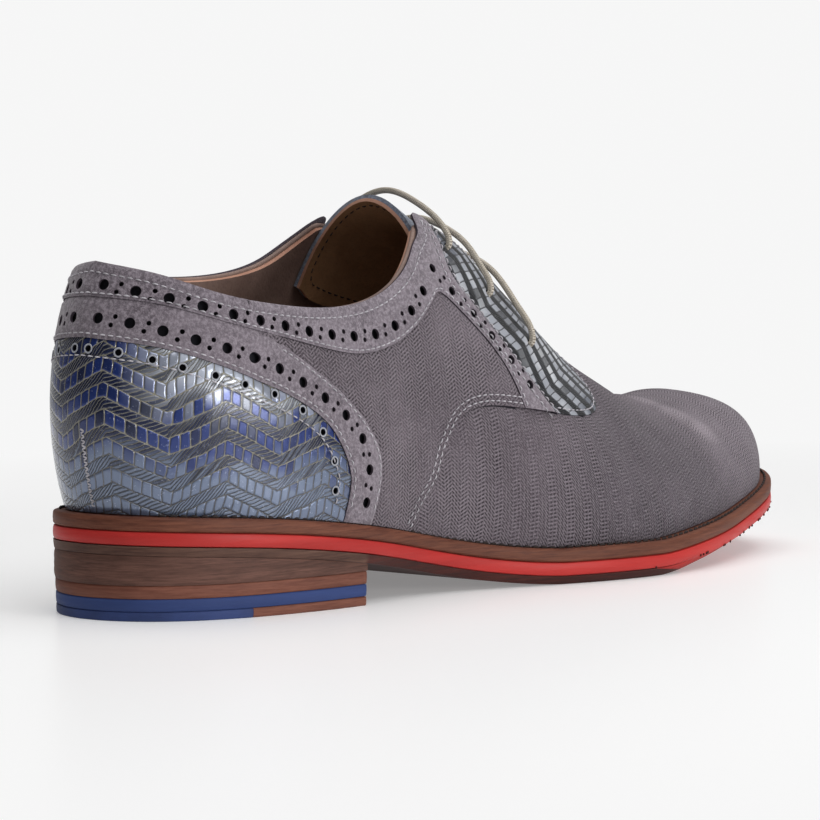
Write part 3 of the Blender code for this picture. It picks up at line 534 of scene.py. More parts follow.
def cut_sheet(edge, holes, pitch, lines=()):
    """Places, shares and triangles of a sheet cut to an edge, with round holes punched in it.

    edge is a closed loop of spots; holes are (spot, radius).
    """
    edge = even(np.asarray(edge), 0.001, closed=True)
    flat = edge*FLAT
    if turned_area(flat) < 0:
        edge, flat = edge[::-1], flat[::-1]
    mark = 1.0
    probe = beside(edge, np.full(len(edge), RIM_ROWS[0]), closed=True)
    if inside(flat, probe*FLAT).mean() < 0.5:
        mark = -1.0
    loops = [edge]
    loose = []
    for ring in RIM_ROWS:
        spots = beside(edge, np.full(len(edge), mark*ring), closed=True)
        loose.append(spots[inside(flat, spots*FLAT)])
    for line in lines:
        for aside in (-0.0007, 0.0, 0.0007):
            spots = beside(even(line, 0.0012), aside)
            loose.append(spots[inside(flat, spots*FLAT)])
    low, high = edge.min(axis=0), edge.max(axis=0)
    middle = edge.mean(axis=0)[None]
    along, above = across_and_up(middle[:, 0], np.clip(middle[:, 1], 0.05, 0.95))
    steps = (pitch/np.linalg.norm(along[0]), pitch/np.linalg.norm(above[0]))
    grid = np.stack(np.meshgrid(np.arange(low[0], high[0], steps[0]),
                                np.arange(low[1], high[1], steps[1])), axis=-1)
    grid[::2, :, 0] += steps[0]/2
    grid = grid.reshape(-1, 2)
    loose.append(grid[inside(flat, grid*FLAT)])
    loose = np.vstack(loose)
    points = points_at(loose)
    rim_points = points_at(edge)
    keep = np.ones(len(loose), bool)
    batch = 2000
    for i in range(0, len(loose), batch):
        reach = np.linalg.norm(points[i:i + batch, None] - rim_points[None], axis=2).min(axis=1)
        keep[i:i + batch] &= reach > RIM_ROWS[0]*0.8
    for spot, radius in holes:
        count = 18 if radius > 0.0009 else 10
        ring = circle(spot, radius, count)
        loops.append(ring)
        centre = surface(np.array([spot[0]]), np.array([spot[1]]))[0]
        keep &= np.linalg.norm(points - centre, axis=1) > radius + 0.0004
    loose = loose[keep]
    spots = np.vstack(loops + [loose])
    sides = []
    start = 0
    for loop in loops:
        count = len(loop)
        sides += [(start + i, start + (i + 1) % count) for i in range(count)]
        start += count
    made = geometry.delaunay_2d_cdt([Vector(s) for s in spots*FLAT], sides, [], 0, 1e-5, False)
    flat_out = np.array([tuple(v) for v in made[0]])
    triangles = np.array([tuple(f) for f in made[2]])
    middles = flat_out[triangles].mean(axis=1)
    good = inside(flat, middles)
    for loop in loops[1:]:
        good &= ~inside(loop*FLAT, middles)
    triangles = triangles[good]
    used, index = np.unique(triangles, return_inverse=True)
    return flat_out[used]/FLAT, index.reshape(-1, 3)


# Meshes

def new_mesh(name, points, faces, materials, slots=None, uv=None):
    """A mesh object in the scene with its materials and, if given, a flat map of its surface."""
    mesh = bpy.data.meshes.new(name)
    mesh.from_pydata([tuple(p) for p in np.asarray(points)], [], [tuple(int(k) for k in f) for f in faces])
    for material in materials:
        mesh.materials.append(material)
    if slots is not None:
        mesh.polygons.foreach_set("material_index", np.asarray(slots, np.int32))
    if uv is not None:
        layer_uv = mesh.uv_layers.new(name="UVMap")
        index = np.empty(len(mesh.loops), np.int32)
        mesh.loops.foreach_get("vertex_index", index)
        layer_uv.data.foreach_set("uv", np.asarray(uv, np.float32)[index].ravel())
    mesh.shade_smooth()
    mesh.update()
    obj = bpy.data.objects.new(name, mesh)
    bpy.context.scene.collection.objects.link(obj)
    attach(obj, "root")
    return obj


def map_of(place, share):
    """A flat map of the upper in metres: along the shoe, and up its wall."""
    point = surface(place, share)
    hand = np.where(place <= 1, -1.0, 1.0)
    t = np.linspace(0, 1, 41)
    line = surface(np.repeat(place[:, None], 41, axis=1), t[None]*share[:, None])
    up = np.linalg.norm(np.diff(line, axis=1), axis=2).sum(axis=1)
    return np.column_stack([point[:, 0] - MIDDLE[0], up*hand])


def heel_map(place, share):
    """A flat map of the heel's wall: round the back, and up."""
    back = np.interp(place, ROUND_PLACES, ROUND_RUN)
    t = np.linspace(0, 1, 41)
    line = surface(np.repeat(place[:, None], 41, axis=1), t[None]*share[:, None])
    up = np.linalg.norm(np.diff(line, axis=1), axis=2).sum(axis=1)
    return np.column_stack([back, up])


ROUND_PLACES = np.linspace(0.5, 1.5, 401)
ROUND_LINE = surface(ROUND_PLACES, 0.3)
ROUND_RUN = run_along(ROUND_LINE)
ROUND_RUN -= ROUND_RUN[200]


def toe_map(place, share):
    """A flat map of the vamp: distance from the ridge, and round the toe from the toe's centre."""
    t = np.linspace(0, 1, 61)
    steps = share[:, None] + (1 - share[:, None])*t[None]
    line = surface(np.repeat(place[:, None], 61, axis=1), steps)
    down = np.linalg.norm(np.diff(line, axis=1), axis=2).sum(axis=1)
    made = []
    for at, run in zip(place, down):
        centre, way = ray(min(at, 2 - at), -1 if at <= 1 else 1)
        made.append((centre[0] + way[0]*run - MIDDLE[0], way[1]*run))
    return np.array(made)


def smoothstep(x, low, high):
    t = np.clip((x - low)/(high - low), 0, 1)
    return t*t*(3 - 2*t)


def bump_at(point, centre, reach, height):
    """A soft swelling or hollow on the surface; reach is its half width each way."""
    away = (point - np.asarray(centre))/np.asarray(reach)
    return height*np.exp(-(away**2).sum(axis=1))


# Materials

class Nodes:
    """Short calls for building a material's nodes."""

    def __init__(self, name):
        self.material = bpy.data.materials.new(name)
        self.material.use_nodes = True
        self.tree = self.material.node_tree
        self.shader = self.tree.nodes["Principled BSDF"]

    def add(self, kind, **values):
        node = self.tree.nodes.new(kind)
        for key, value in values.items():
            setattr(node, key, value)
        return node

    def put(self, socket, value):
        if isinstance(value, bpy.types.NodeSocket):
            self.tree.links.new(value, socket)
        else:
            socket.default_value = value

    def math(self, operation, a, b=0.0, c=0.0):
        node = self.add("ShaderNodeMath", operation=operation)
        for socket, value in zip(node.inputs, (a, b, c)):
            self.put(socket, value)
        return node.outputs[0]

    def times(self, a, b):
        return self.math("MULTIPLY", a, b)

    def plus(self, a, b):
        return self.math("ADD", a, b)

    def mix(self, share, a, b):
        """A colour between two others."""
        node = self.add("ShaderNodeMix", data_type="RGBA")
        self.put(node.inputs[0], share)
        self.put(node.inputs[6], a)
        self.put(node.inputs[7], b)
        return node.outputs[2]

    def mix_value(self, share, a, b):
        """A number between two others."""
        node = self.add("ShaderNodeMix", data_type="FLOAT")
        for socket, value in zip(node.inputs[:4], (share, None, a, b)):
            if value is not None:
                self.put(socket, value)
        return node.outputs[0]

    def ramp(self, value, low, high, out_low=0.0, out_high=1.0):
        node = self.add("ShaderNodeMapRange", clamp=True)
        for socket, number in zip(node.inputs, (value, low, high, out_low, out_high)):
            self.put(socket, number)
        return node.outputs[0]

    def place(self, kind="Object"):
        return self.add("ShaderNodeTexCoord").outputs[kind]

    def noise(self, vector, scale, detail=3.0, rough=0.55):
        node = self.add("ShaderNodeTexNoise")
        self.put(node.inputs["Vector"], vector)
        node.inputs["Scale"].default_value = scale
        node.inputs["Detail"].default_value = detail
        node.inputs["Roughness"].default_value = rough
        return node.outputs["Fac"]

    def near(self, spot, low, high):
        """1 within low of a spot on the shoe, 0 beyond high."""
        node = self.add("ShaderNodeVectorMath", operation="DISTANCE")
        self.put(node.inputs[0], self.place())
        node.inputs[1].default_value = [a - b for a, b in zip(spot, MIDDLE)]
        share = self.add("ShaderNodeMapRange", clamp=True, interpolation_type="SMOOTHSTEP")
        for socket, number in zip(share.inputs, (node.outputs["Value"], low, high, 1.0, 0.0)):
            self.put(socket, number)
        return share.outputs[0]

    def cells(self, vector, scale):
        node = self.add("ShaderNodeTexVoronoi")
        self.put(node.inputs["Vector"], vector)
        node.inputs["Scale"].default_value = scale
        return node

    def random(self, vector):
        node = self.add("ShaderNodeTexWhiteNoise", noise_dimensions="3D")
        self.put(node.inputs["Vector"], vector)
        return node.outputs["Value"]

    def split(self, vector):
        node = self.add("ShaderNodeSeparateXYZ")
        self.put(node.inputs[0], vector)
        return node.outputs[0], node.outputs[1], node.outputs[2]

    def join(self, x, y, z=0.0):
        node = self.add("ShaderNodeCombineXYZ")
        for socket, value in zip(node.inputs, (x, y, z)):
            self.put(socket, value)
        return node.outputs[0]

    def bump(self, height, distance, strength=1.0):
        node = self.add("ShaderNodeBump")
        self.put(node.inputs["Height"], height)
        node.inputs["Distance"].default_value = distance
        node.inputs["Strength"].default_value = strength
        return node.outputs[0]

    def done(self, colour, roughness, normal=None, specular=None, coat=None):
        self.put(self.shader.inputs["Base Color"], colour)
        self.put(self.shader.inputs["Roughness"], roughness)
        if normal is not None:
            self.put(self.shader.inputs["Normal"], normal)
        if specular is not None:
            self.shader.inputs["Specular IOR Level"].default_value = specular
        if coat is not None:
            self.shader.inputs["Coat Weight"].default_value = coat
            self.shader.inputs["Coat Roughness"].default_value = 0.18
        return self.material


def grey(value):
    return (value, value, value, 1.0)


def shade(red, green, blue):
    """A colour from screen values of 0 to 255."""
    def straight_light(v):
        v /= 255
        return v/12.92 if v <= 0.04045 else ((v + 0.055)/1.055)**2.4

    return (straight_light(red), straight_light(green), straight_light(blue), 1.0)


# painted shade on the vamp's two sides, a painted highlight on the top of the toe, and a painted highlight
# along the ridge of a fold
FLANK_SHADE_SPOTS = [(0.206, -0.050, 0.020), (0.206, 0.050, 0.020)]
TOE_HIGHLIGHT_SPOT = (0.268, -0.008, 0.042)
FOLD_HIGHLIGHT_LINE = [(0.2436, -0.0085, 0.0485), (0.2470, -0.0180, 0.0440), (0.2515, -0.0255, 0.0395)]


def nubuck_finish():
    """Grey nubuck with a small pressed herringbone, darker in its dents, cloudy where the nap lies over,
    with painted shade on its flanks and painted highlights on the toe and a fold.
    """
    n = Nodes("nubuck_print")
    u, v, _ = n.split(n.place("UV"))
    warp = n.noise(n.place(), 18.0, 2.0)
    mm_u = n.times(u, 1000.0)
    mm_v = n.math("MULTIPLY_ADD", warp, 1.6, n.times(v, 1000.0))
    zig = n.math("PINGPONG", mm_u, 3.2)
    slant = n.plus(mm_v, n.times(zig, 0.75))
    lines = n.math("SINE", n.times(slant, 2*pi/1.15))
    dash = n.math("SINE", n.times(mm_u, 2*pi/1.28))
    broken = n.times(n.ramp(lines, -0.5, 0.7), n.ramp(dash, -1.0, 0.1, 0.25, 1.0))
    fade = n.ramp(n.noise(n.place(), 55.0, 3.0), 0.35, 0.62, 0.55, 1.0)
    dents = n.times(broken, fade)
    fuzz = n.noise(n.place(), 2600.0, 2.0, 0.7)
    cloud = n.noise(n.place(), 26.0, 4.0, 0.6)
    base = n.mix(n.ramp(cloud, 0.36, 0.66), shade(80, 71, 78), shade(110, 101, 108))
    # painted shade: the vamp's flanks darker, as the light falls mostly from above
    flank_shade = n.math("MAXIMUM", n.near(FLANK_SHADE_SPOTS[0], 0.022, 0.066), n.near(FLANK_SHADE_SPOTS[1], 0.022, 0.066))
    base = n.mix(n.times(flank_shade, 0.75), base, shade(56, 49, 56))
    # painted highlight on the top of the toe, where the light from above falls
    base = n.mix(n.times(n.near(TOE_HIGHLIGHT_SPOT, 0.010, 0.050), 0.5), base, shade(142, 133, 140))
    # painted highlight along the ridge of the fold, where it stands up toward the light
    fold_highlight = n.math("MAXIMUM", n.near(FOLD_HIGHLIGHT_LINE[0], 0.002, 0.0075), n.near(FOLD_HIGHLIGHT_LINE[1], 0.002, 0.0085))
    fold_highlight = n.math("MAXIMUM", fold_highlight, n.near(FOLD_HIGHLIGHT_LINE[2], 0.002, 0.0085))
    base = n.mix(n.times(fold_highlight, 0.42), base, shade(168, 158, 164))
    base = n.mix(n.ramp(fuzz, 0.4, 0.66, 0.0, 0.5), base, shade(160, 151, 158))
    colour = n.mix(n.times(dents, 0.88), base, shade(30, 25, 30))
    height = n.math("SUBTRACT", n.times(fuzz, 0.35), dents)
    normal = n.bump(height, 0.00032, 0.8)
    made = n.done(colour, 0.92, normal, 0.12)
    n.shader.inputs["Sheen Weight"].default_value = 0.10
    n.shader.inputs["Sheen Roughness"].default_value = 0.5
    return made


def suede_finish(name="suede", dark=(88, 80, 87), light=(140, 131, 139)):
    """Suede: short nap that catches the light in patches."""
    n = Nodes(name)
    fuzz = n.noise(n.place(), 950.0, 3.0, 0.75)
    patch = n.noise(n.place(), 60.0, 4.0, 0.6)
    between = [0.5*(a + b) for a, b in zip(dark, light)]
    base = n.mix(n.ramp(patch, 0.35, 0.65), shade(*dark), shade(*between))
    colour = n.mix(n.ramp(fuzz, 0.42, 0.62, 0.0, 0.9), base, shade(*light))
    normal = n.bump(fuzz, 0.00035, 1.0)
    made = n.done(colour, 0.95, normal, 0.12)
    n.shader.inputs["Sheen Weight"].default_value = 0.3
    n.shader.inputs["Sheen Roughness"].default_value = 0.5
    return made


def woven_finish(name, scale, tones, stroke_tones, line_tones, gloss, banded=True):
    """Glossy leather pressed like a basket weave: rows of upright bricks and of slanting strokes in turn.

    tones are the bricks' colours low, in the middle and high on the piece, and that of a dull brick.
    stroke_tones are the strokes' in the same places, and line_tones the grooves' low and further up.
    On a banded piece the high colours are a painted highlight kept off the back, and the low ones are
    partly a painted reflection of the floor; otherwise high and low lie in random patches of print.
    """
    n = Nodes(name)
    u, v, _ = n.split(n.place("UV"))
    warp = n.noise(n.place(), 20.0, 2.0)
    fine = n.noise(n.place(), 160.0, 2.0)
    mm_u = n.math("MULTIPLY_ADD", warp, 3.0, n.times(u, 1000.0*scale))
    mm_u = n.math("MULTIPLY_ADD", fine, 1.1, mm_u)
    raw_v = n.times(v, 1000.0*scale)
    mm_v = n.math("MULTIPLY_ADD", fine, 0.9, n.math("MULTIPLY_ADD", warp, 9.0, raw_v))
    chevron = n.times(n.math("PINGPONG", n.plus(mm_u, 6.0), 17.0), 0.40)
    height_in = n.plus(mm_v, chevron)
    pair = n.math("DIVIDE", height_in, 7.4)
    row = n.math("FLOOR", pair)
    within = n.times(n.math("FRACT", pair), 7.4)
    is_stroke = n.math("GREATER_THAN", within, 4.1)
    rise = n.mix_value(is_stroke, n.math("DIVIDE", within, 4.1),
                       n.math("DIVIDE", n.math("SUBTRACT", within, 4.1), 3.3))

    def pillow(value, power):
        """1 in the middle of a cell, falling to 0 at its edge."""
        away = n.math("ABSOLUTE", n.math("MULTIPLY_ADD", value, 2.0, -1.0))
        return n.math("SUBTRACT", 1.0, n.math("POWER", away, power))

    shifted_u = n.math("MULTIPLY_ADD", row, 1.37, n.math("MULTIPLY_ADD", rise, 0.5, mm_u))
    column = n.math("FLOOR", n.math("DIVIDE", shifted_u, 2.9))
    brick = n.times(pillow(n.math("FRACT", n.math("DIVIDE", shifted_u, 2.9)), 5.0), pillow(rise, 7.0))
    slope = n.math("MULTIPLY_ADD", rise, 4.4, mm_u)
    which = n.math("FLOOR", n.math("DIVIDE", slope, 1.55))
    stroke = n.times(pillow(n.math("FRACT", n.math("DIVIDE", slope, 1.55)), 3.0), pillow(rise, 8.0))
    raised = n.mix_value(is_stroke, brick, stroke)
    cell = n.mix_value(is_stroke, column, which)
    chance = n.random(n.join(cell, row, is_stroke))
    drift = n.noise(n.join(n.times(u, 0.6), v, 0.0), 45.0, 2.0)
    zone = n.math("MULTIPLY_ADD", drift, 26.0 if banded else 78.0, raw_v if banded else 0.0)
    zone = n.math("MULTIPLY_ADD", chance, 9.0, zone)
    # the high zone: on a banded piece a painted highlight, faded out near the back seam; otherwise random
    # patches of pale print
    upper = n.ramp(zone, 43.0, 51.0)
    if banded:
        upper = n.times(upper, n.ramp(n.math("ABSOLUTE", n.times(u, 1000.0)), 12.0, 28.0))
    # the low zone: on a banded piece partly the print's grey and partly a painted reflection of the floor
    lower = n.ramp(zone, 30.0, 37.0, 1.0, 0.0)
    face = n.mix(lower, tones[1], tones[0])
    face = n.mix(upper, face, tones[2])
    line = n.mix(lower, stroke_tones[1], stroke_tones[0])
    line = n.mix(upper, line, stroke_tones[2])
    face = n.mix(is_stroke, face, line)
    dull = n.times(n.ramp(chance, 0.6, 0.95, 0.0, 0.8), n.math("SUBTRACT", 1.0, lower))
    face = n.mix(dull, face, tones[3])
    groove = n.mix(n.times(lower, 0.7), line_tones[1], line_tones[0])
    solid = n.ramp(raised, 0.30, 0.58)
    colour = n.mix(solid, groove, face)
    scuff = n.noise(n.place(), 900.0, 3.0, 0.7)
    colour = n.mix(n.ramp(scuff, 0.60, 0.78, 0.0, 0.35), colour, tones[2])
    height = n.math("MULTIPLY_ADD", scuff, 0.10, n.ramp(raised, 0.1, 0.9))
    normal = n.bump(height, 0.00045, 0.85)
    made = n.done(colour, n.ramp(scuff, 0.3, 0.7, gloss, gloss + 0.14), normal, 0.5, 0.5 if banded else 0.15)
    n.shader.inputs["Metallic"].default_value = 0.35 if banded else 0.1
    return made


def leather_finish(name, dark, light, roughness, grain=900.0, depth=0.00012, specular=0.4):
    """Smooth leather with fine pores and slow changes of colour."""
    n = Nodes(name)
    pores = n.cells(n.place(), grain).outputs["Distance"]
    slow = n.noise(n.place(), 40.0, 4.0, 0.6)
    colour = n.mix(n.ramp(slow, 0.35, 0.65), shade(*dark), shade(*light))
    colour = n.mix(n.ramp(pores, 0.0, 0.5, 0.25, 0.0), colour, shade(*[0.6*c for c in dark]))
    normal = n.bump(pores, depth, 0.7)
    return n.done(colour, n.ramp(slow, 0.3, 0.7, roughness, roughness + 0.12), normal, specular)


def layered_finish(name, dark, light, roughness, fineness, streak=0.5, at_heel=None, at_toe=None):
    """A cut and burnished edge of sole leather: fine level streaks.

    at_heel are its colours over the heel, and at_toe where the paint of the layer above runs down over it.
    """
    n = Nodes(name)
    x, y, z = n.split(n.place())
    wide = n.join(n.times(x, 0.06), n.times(y, 0.06), z)
    streaks = n.noise(wide, fineness, 4.0, 0.7)
    coarse = n.noise(wide, fineness*0.25, 2.0, 0.5)
    slow = n.noise(n.place(), 30.0, 3.0)
    low, high = shade(*dark), shade(*light)
    if at_heel:
        ahead = n.ramp(x, HEEL_LENGTH - MIDDLE[0] - 0.001, HEEL_LENGTH - MIDDLE[0] + 0.001)
        low = n.mix(ahead, shade(*at_heel[0]), low)
        high = n.mix(ahead, shade(*at_heel[1]), high)
    if at_toe:
        reach = n.math("MULTIPLY_ADD", z, 10.0, x)
        first = 0.70*LENGTH - MIDDLE[0] - 10.0*MIDDLE[2]
        painted = n.times(n.ramp(reach, first - 0.001, first + 0.001),
                         n.ramp(x, 0.50*LENGTH - MIDDLE[0], 0.54*LENGTH - MIDDLE[0]))
        low = n.mix(painted, low, shade(*at_toe[0]))
        high = n.mix(painted, high, shade(*at_toe[1]))
    colour = n.mix(n.ramp(streaks, 0.5 - 0.3*streak, 0.5 + 0.3*streak), low, high)
    colour = n.mix(n.ramp(coarse, 0.4, 0.6, 0.0, 0.35), colour, shade(*[0.75*c for c in dark]))
    colour = n.mix(n.ramp(slow, 0.4, 0.7, 0.0, 0.25), colour, high)
    normal = n.bump(streaks, 0.0002, 0.6)
    return n.done(colour, n.ramp(streaks, 0.3, 0.7, roughness, roughness + 0.15), normal, 0.2)


def plain_finish(name, colour, roughness, specular=0.3, grain=0.0, depth=0.0001):
    n = Nodes(name)
    slow = n.noise(n.place(), 90.0, 4.0, 0.6)
    low = [0.85*c for c in colour]
    mixed = n.mix(n.ramp(slow, 0.35, 0.65), shade(*low), shade(*colour))
    normal = None
    if grain:
        normal = n.bump(n.noise(n.place(), grain, 3.0, 0.7), depth, 0.7)
    return n.done(mixed, roughness, normal, specular)


def braid_finish():
    """Waxed round lace: crossing strands."""
    n = Nodes("lace_braid")
    u, v, _ = n.split(n.place("UV"))
    a = n.math("SINE", n.times(n.plus(n.times(u, 5.0), v), 2*pi*3))
    b = n.math("SINE", n.times(n.math("SUBTRACT", n.times(u, 5.0), v), 2*pi*3))
    weave = n.math("MAXIMUM", a, b)
    fuzz = n.noise(n.place(), 2500.0, 2.0, 0.6)
    colour = n.mix(n.ramp(weave, -0.2, 0.9), shade(128, 117, 103), shade(203, 194, 180))
    colour = n.mix(n.ramp(fuzz, 0.4, 0.7, 0.0, 0.3), colour, shade(228, 220, 207))
    return n.done(colour, 0.8, n.bump(weave, 0.0002, 0.8), 0.2)


# Fitting pieces to the surface

def nearest(points, line):
    """How far each point is from a densely sampled line."""
    best = np.full(len(points), 1.0)
    for i in range(0, len(points), 1500):
        gap = points[i:i + 1500, None] - line[None]
        best[i:i + 1500] = np.sqrt((gap**2).sum(axis=2).min(axis=1))
    return best


def dense(spots):
    """Points half a millimetre apart along a line of spots."""
    spots = even(spots, 0.0005)
    return points_at(spots)


# Edges bent by more than this are drawn sharp, on sheets and on the sole
SHEET_SHARP = radians(42)
SOLE_SHARP = radians(35)


def solid_sheet(name, outer, inner, faces, materials, uv=None, slots=None):
    """A closed sheet from its outer and inner points. Materials are outer, inner and edge."""
    faces = [tuple(dict.fromkeys(face)) for face in faces]
    count = len(outer)
    sides = {}
    for face in faces:
        for a, b in zip(face, face[1:] + face[:1]):
            sides[a, b] = True
    rim_sides = [(a, b) for a, b in sides if (b, a) not in sides]
    made = list(faces)
    made += [tuple(count + k for k in face[::-1]) for face in faces]
    made += [(b, a, count + a, count + b) for a, b in rim_sides]
    index = list(slots if slots is not None else [0]*len(faces))
    index += [1]*len(faces) + [2]*len(rim_sides)
    points = np.vstack([outer, inner]) - MIDDLE
    both = None if uv is None else np.vstack([uv, uv])
    obj = new_mesh(name, points, made, materials, index, both)
    obj.data.set_sharp_from_angle(angle=SHEET_SHARP)
    return obj


def facing_out(outer, triangles, spots):
    """Triangles turned so that they face away from the foot."""
    a, b, c = (outer[triangles[:, k]] for k in range(3))
    normal = np.cross(b - a, c - a)
    middle = spots[triangles].mean(axis=1)
    wrong = (normal*outward(middle[:, 0], middle[:, 1])).sum(axis=1) < 0
    triangles = triangles.copy()
    triangles[wrong] = triangles[wrong][:, ::-1]
    return triangles


def fitted_panel(name, tops, unders, edge, holes, lines, depth, thick, materials, uv, pitch=0.0019):
    """A cut panel, rolled where its edge is free and sunk where it is tucked or stitched.

    tops are its free edges, unders the tucked ones and lines its rows of stitches.
    depth is how far its face lies under the surface.
    """
    spots, triangles = cut_sheet(edge, holes, pitch, lines)
    place, share = spots[:, 0], np.clip(spots[:, 1], 0, 1)
    points = surface(place, share)
    deep = np.full(len(spots), depth)
    # how far the sheet sinks at a free edge, at a tucked one, along stitches and round a hole
    rolled, tucked_in, creased, dented = 0.00028, 0.00062, 0.00020, 0.00015
    for line in tops:
        deep += rolled*(1 - smoothstep(nearest(points, dense(line)), 0.0, 0.0009))
    for line in unders:
        deep += tucked_in*(1 - smoothstep(nearest(points, dense(line)), 0.0006, 0.0017))
    for line in lines:
        deep += creased*np.exp(-(nearest(points, dense(line))/0.00055)**2)
    if holes:
        centres = surface(np.array([s[0] for s, _ in holes]), np.array([s[1] for s, _ in holes]))
        for centre, (_, radius) in zip(centres, holes):
            away = np.linalg.norm(points - centre, axis=1) - radius
            near = away < 0.0012
            deep[near] += dented*np.exp(-(np.clip(away[near], 0, None)/0.0005)**2)
    outer = layer(place, share, deep)
    triangles = facing_out(outer, triangles, spots)
    inner = layer(place, share, np.full(len(spots), depth + thick))
    return solid_sheet(name, outer, inner, [tuple(t) for t in triangles], materials, uv(place, share))


def grid_quads(rows, columns):
    """Faces of a grid stored row by row."""
    return [(i*columns + j, (i + 1)*columns + j, (i + 1)*columns + j + 1, i*columns + j + 1)
            for i in range(rows - 1) for j in range(columns - 1)]


def ring_faces(rings, count):
    """Faces between closed rings of points stored one after another."""
    faces = []
    for i in range(rings - 1):
        for j in range(count):
            a, b = i*count + j, i*count + (j + 1) % count
            faces.append((a, b, b + count, a + count))
    return faces


def both_sides(rows, hand):
    """Spots from stations and rises on one side of the shoe."""
    places = [s if hand < 0 else 2 - s for s, _ in rows]
    return np.array([(place, share_at_rise(place, rise)) for place, (_, rise) in zip(places, rows)])


def thread(name, lines, material, pitch=0.0024, radius=0.00022, lift=0.00010, gap=0.0006, ends=0.0003):
    """Rows of stitches along lines, each given as dense points and normals.

    pitch is a stitch's length, radius its thread's and gap the space between two stitches.
    lift is how far its middle stands out, and ends how deep its ends go.
    """
    rings, sides = 5, 6
    points, faces = [], []
    wall = np.array(ring_faces(rings, sides))
    turn = np.linspace(0, 2*pi, sides, endpoint=False)
    for line, normal in lines:
        run = run_along(line)
        count = max(1, int(round(run[-1]/pitch)))
        step = run[-1]/count
        for i in range(count):
            at = np.linspace(i*step + gap/2, (i + 1)*step - gap/2, rings)
            spot = np.column_stack([np.interp(at, run, line[:, k]) for k in range(3)])
            up = np.column_stack([np.interp(at, run, normal[:, k]) for k in range(3)])
            up /= np.linalg.norm(up, axis=1)[:, None]
            t = np.linspace(-1, 1, rings)
            spot = spot + up*(lift - (lift + ends)*np.abs(t)**3)[:, None]
            way = np.gradient(spot, axis=0)
            way /= np.linalg.norm(way, axis=1)[:, None]
            across = np.cross(way, up)
            wide = radius*np.array([0.45, 0.95, 1.0, 0.95, 0.45])*(1 + 0.06*rng.standard_normal())
            first = len(points)
            for k in range(rings):
                ring = spot[k] + wide[k]*(np.cos(turn)[:, None]*across[k] + np.sin(turn)[:, None]*up[k])
                points.extend(ring)
            faces.extend(tuple(face) for face in wall + first)
            faces.append(tuple(first + j for j in range(sides))[::-1])
            faces.append(tuple(first + (rings - 1)*sides + j for j in range(sides)))
    return new_mesh(name, np.array(points) - MIDDLE, faces, [material])


def on_layer(spots, depth):
    """Points and normals densely along a line of spots, at a depth."""
    spots = even(spots, 0.0006)
    place, share = spots[:, 0], np.clip(spots[:, 1], 0, 1)
    return layer(place, share, np.full(len(spots), depth)), outward(place, share)


def tube(name, path, radius, material, sides=12, uv=True):
    """A round tube along points, with closed ends; radius may change along it."""
    path = np.asarray(path)
    radius = np.broadcast_to(radius, len(path))
    way = np.gradient(path, axis=0)
    way /= np.linalg.norm(way, axis=1)[:, None]
    up = np.array([0, 0, 1.0]) - way[0]*way[0][2]
    if np.linalg.norm(up) < 0.1:
        up = np.array([0, 1.0, 0])
    points, maps = [], []
    turn = np.linspace(0, 2*pi, sides, endpoint=False)
    run = run_along(path)
    for i in range(len(path)):
        up = up - way[i]*np.dot(up, way[i])
        up /= np.linalg.norm(up)
        across = np.cross(way[i], up)
        points.extend(path[i] + radius[i]*(np.cos(turn)[:, None]*across + np.sin(turn)[:, None]*up))
        maps.extend((run[i]*100, k/sides) for k in range(sides))
    faces = ring_faces(len(path), sides)
    faces.append(tuple(range(sides))[::-1])
    faces.append(tuple((len(path) - 1)*sides + j for j in range(sides)))
    return new_mesh(name, np.array(points) - MIDDLE, faces, [material], uv=maps if uv else None)


# Sole and heel

EDGE_WAY = np.roll(EDGE, -1, axis=0) - np.roll(EDGE, 1, axis=0)
EDGE_WAY /= np.linalg.norm(EDGE_WAY, axis=1)[:, None]
EDGE_IN = np.column_stack([-EDGE_WAY[:, 1], EDGE_WAY[:, 0]])
if ((EDGE.mean(axis=0) - EDGE)*EDGE_IN).sum() < 0:
    EDGE_IN = -EDGE_IN


def bevel_at(x):
    """How far the outsole's edge is bevelled: hardly over the heel, and most under the forepart."""
    return (0.2 + 0.8*smoothstep(x, HEEL_LENGTH - 0.004, HEEL_LENGTH + 0.012)
            + 1.7*smoothstep(x, 0.62*LENGTH, 0.78*LENGTH))


def sole_layer(name, profile, low, high, material, node):
    """A layer of the sole with a shaped edge. profile rows are an inset and a share of the height."""
    edge, way = EDGE[::2], EDGE_IN[::2]
    loop = len(edge)
    bevel = bevel_at(edge[:, 0]) if node == "outsole" else np.ones(loop)
    points = []
    for inset, share in profile:
        ring = edge + way*inset*bevel[:, None]
        level = low(ring[:, 0])*(1 - share) + high(ring[:, 0])*share
        points.append(np.column_stack([ring, level]))
    ends = (0.115*LENGTH, TOE_CENTRE[0]*LENGTH)
    centre = np.column_stack([np.clip(edge[:, 0], *ends), np.zeros(loop)])
    centre[:, 1] = np.interp(centre[:, 0], ends, (0, TOE_CENTRE[1]*BALL_WIDTH))
    faces = ring_faces(len(profile), loop)
    last = (len(profile) - 1)*loop
    for first, base, level in ((0, len(profile)*loop, low), (last, (len(profile) + 1)*loop, high)):
        points.append(np.column_stack([centre, level(centre[:, 0])]))
        for i in range(loop):
            k = (i + 1) % loop
            if np.allclose(centre[i], centre[k]):
                faces.append((first + i, first + k, base + i))
            else:
                faces.append((first + i, first + k, base + k, base + i))
    return closed_piece(name, np.vstack(points), faces, material, node)


def closed_piece(name, points, faces, material, node):
    """A closed solid with its doubled points joined and its faces turned outwards."""
    obj = new_mesh(name, points - MIDDLE, faces, [material])
    work = bmesh.new()
    work.from_mesh(obj.data)
    bmesh.ops.remove_doubles(work, verts=work.verts, dist=0.000002)
    bmesh.ops.recalc_face_normals(work, faces=work.faces)
    work.to_mesh(obj.data)
    work.free()
    obj.data.set_sharp_from_angle(angle=SOLE_SHARP)
    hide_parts(node)
    return obj


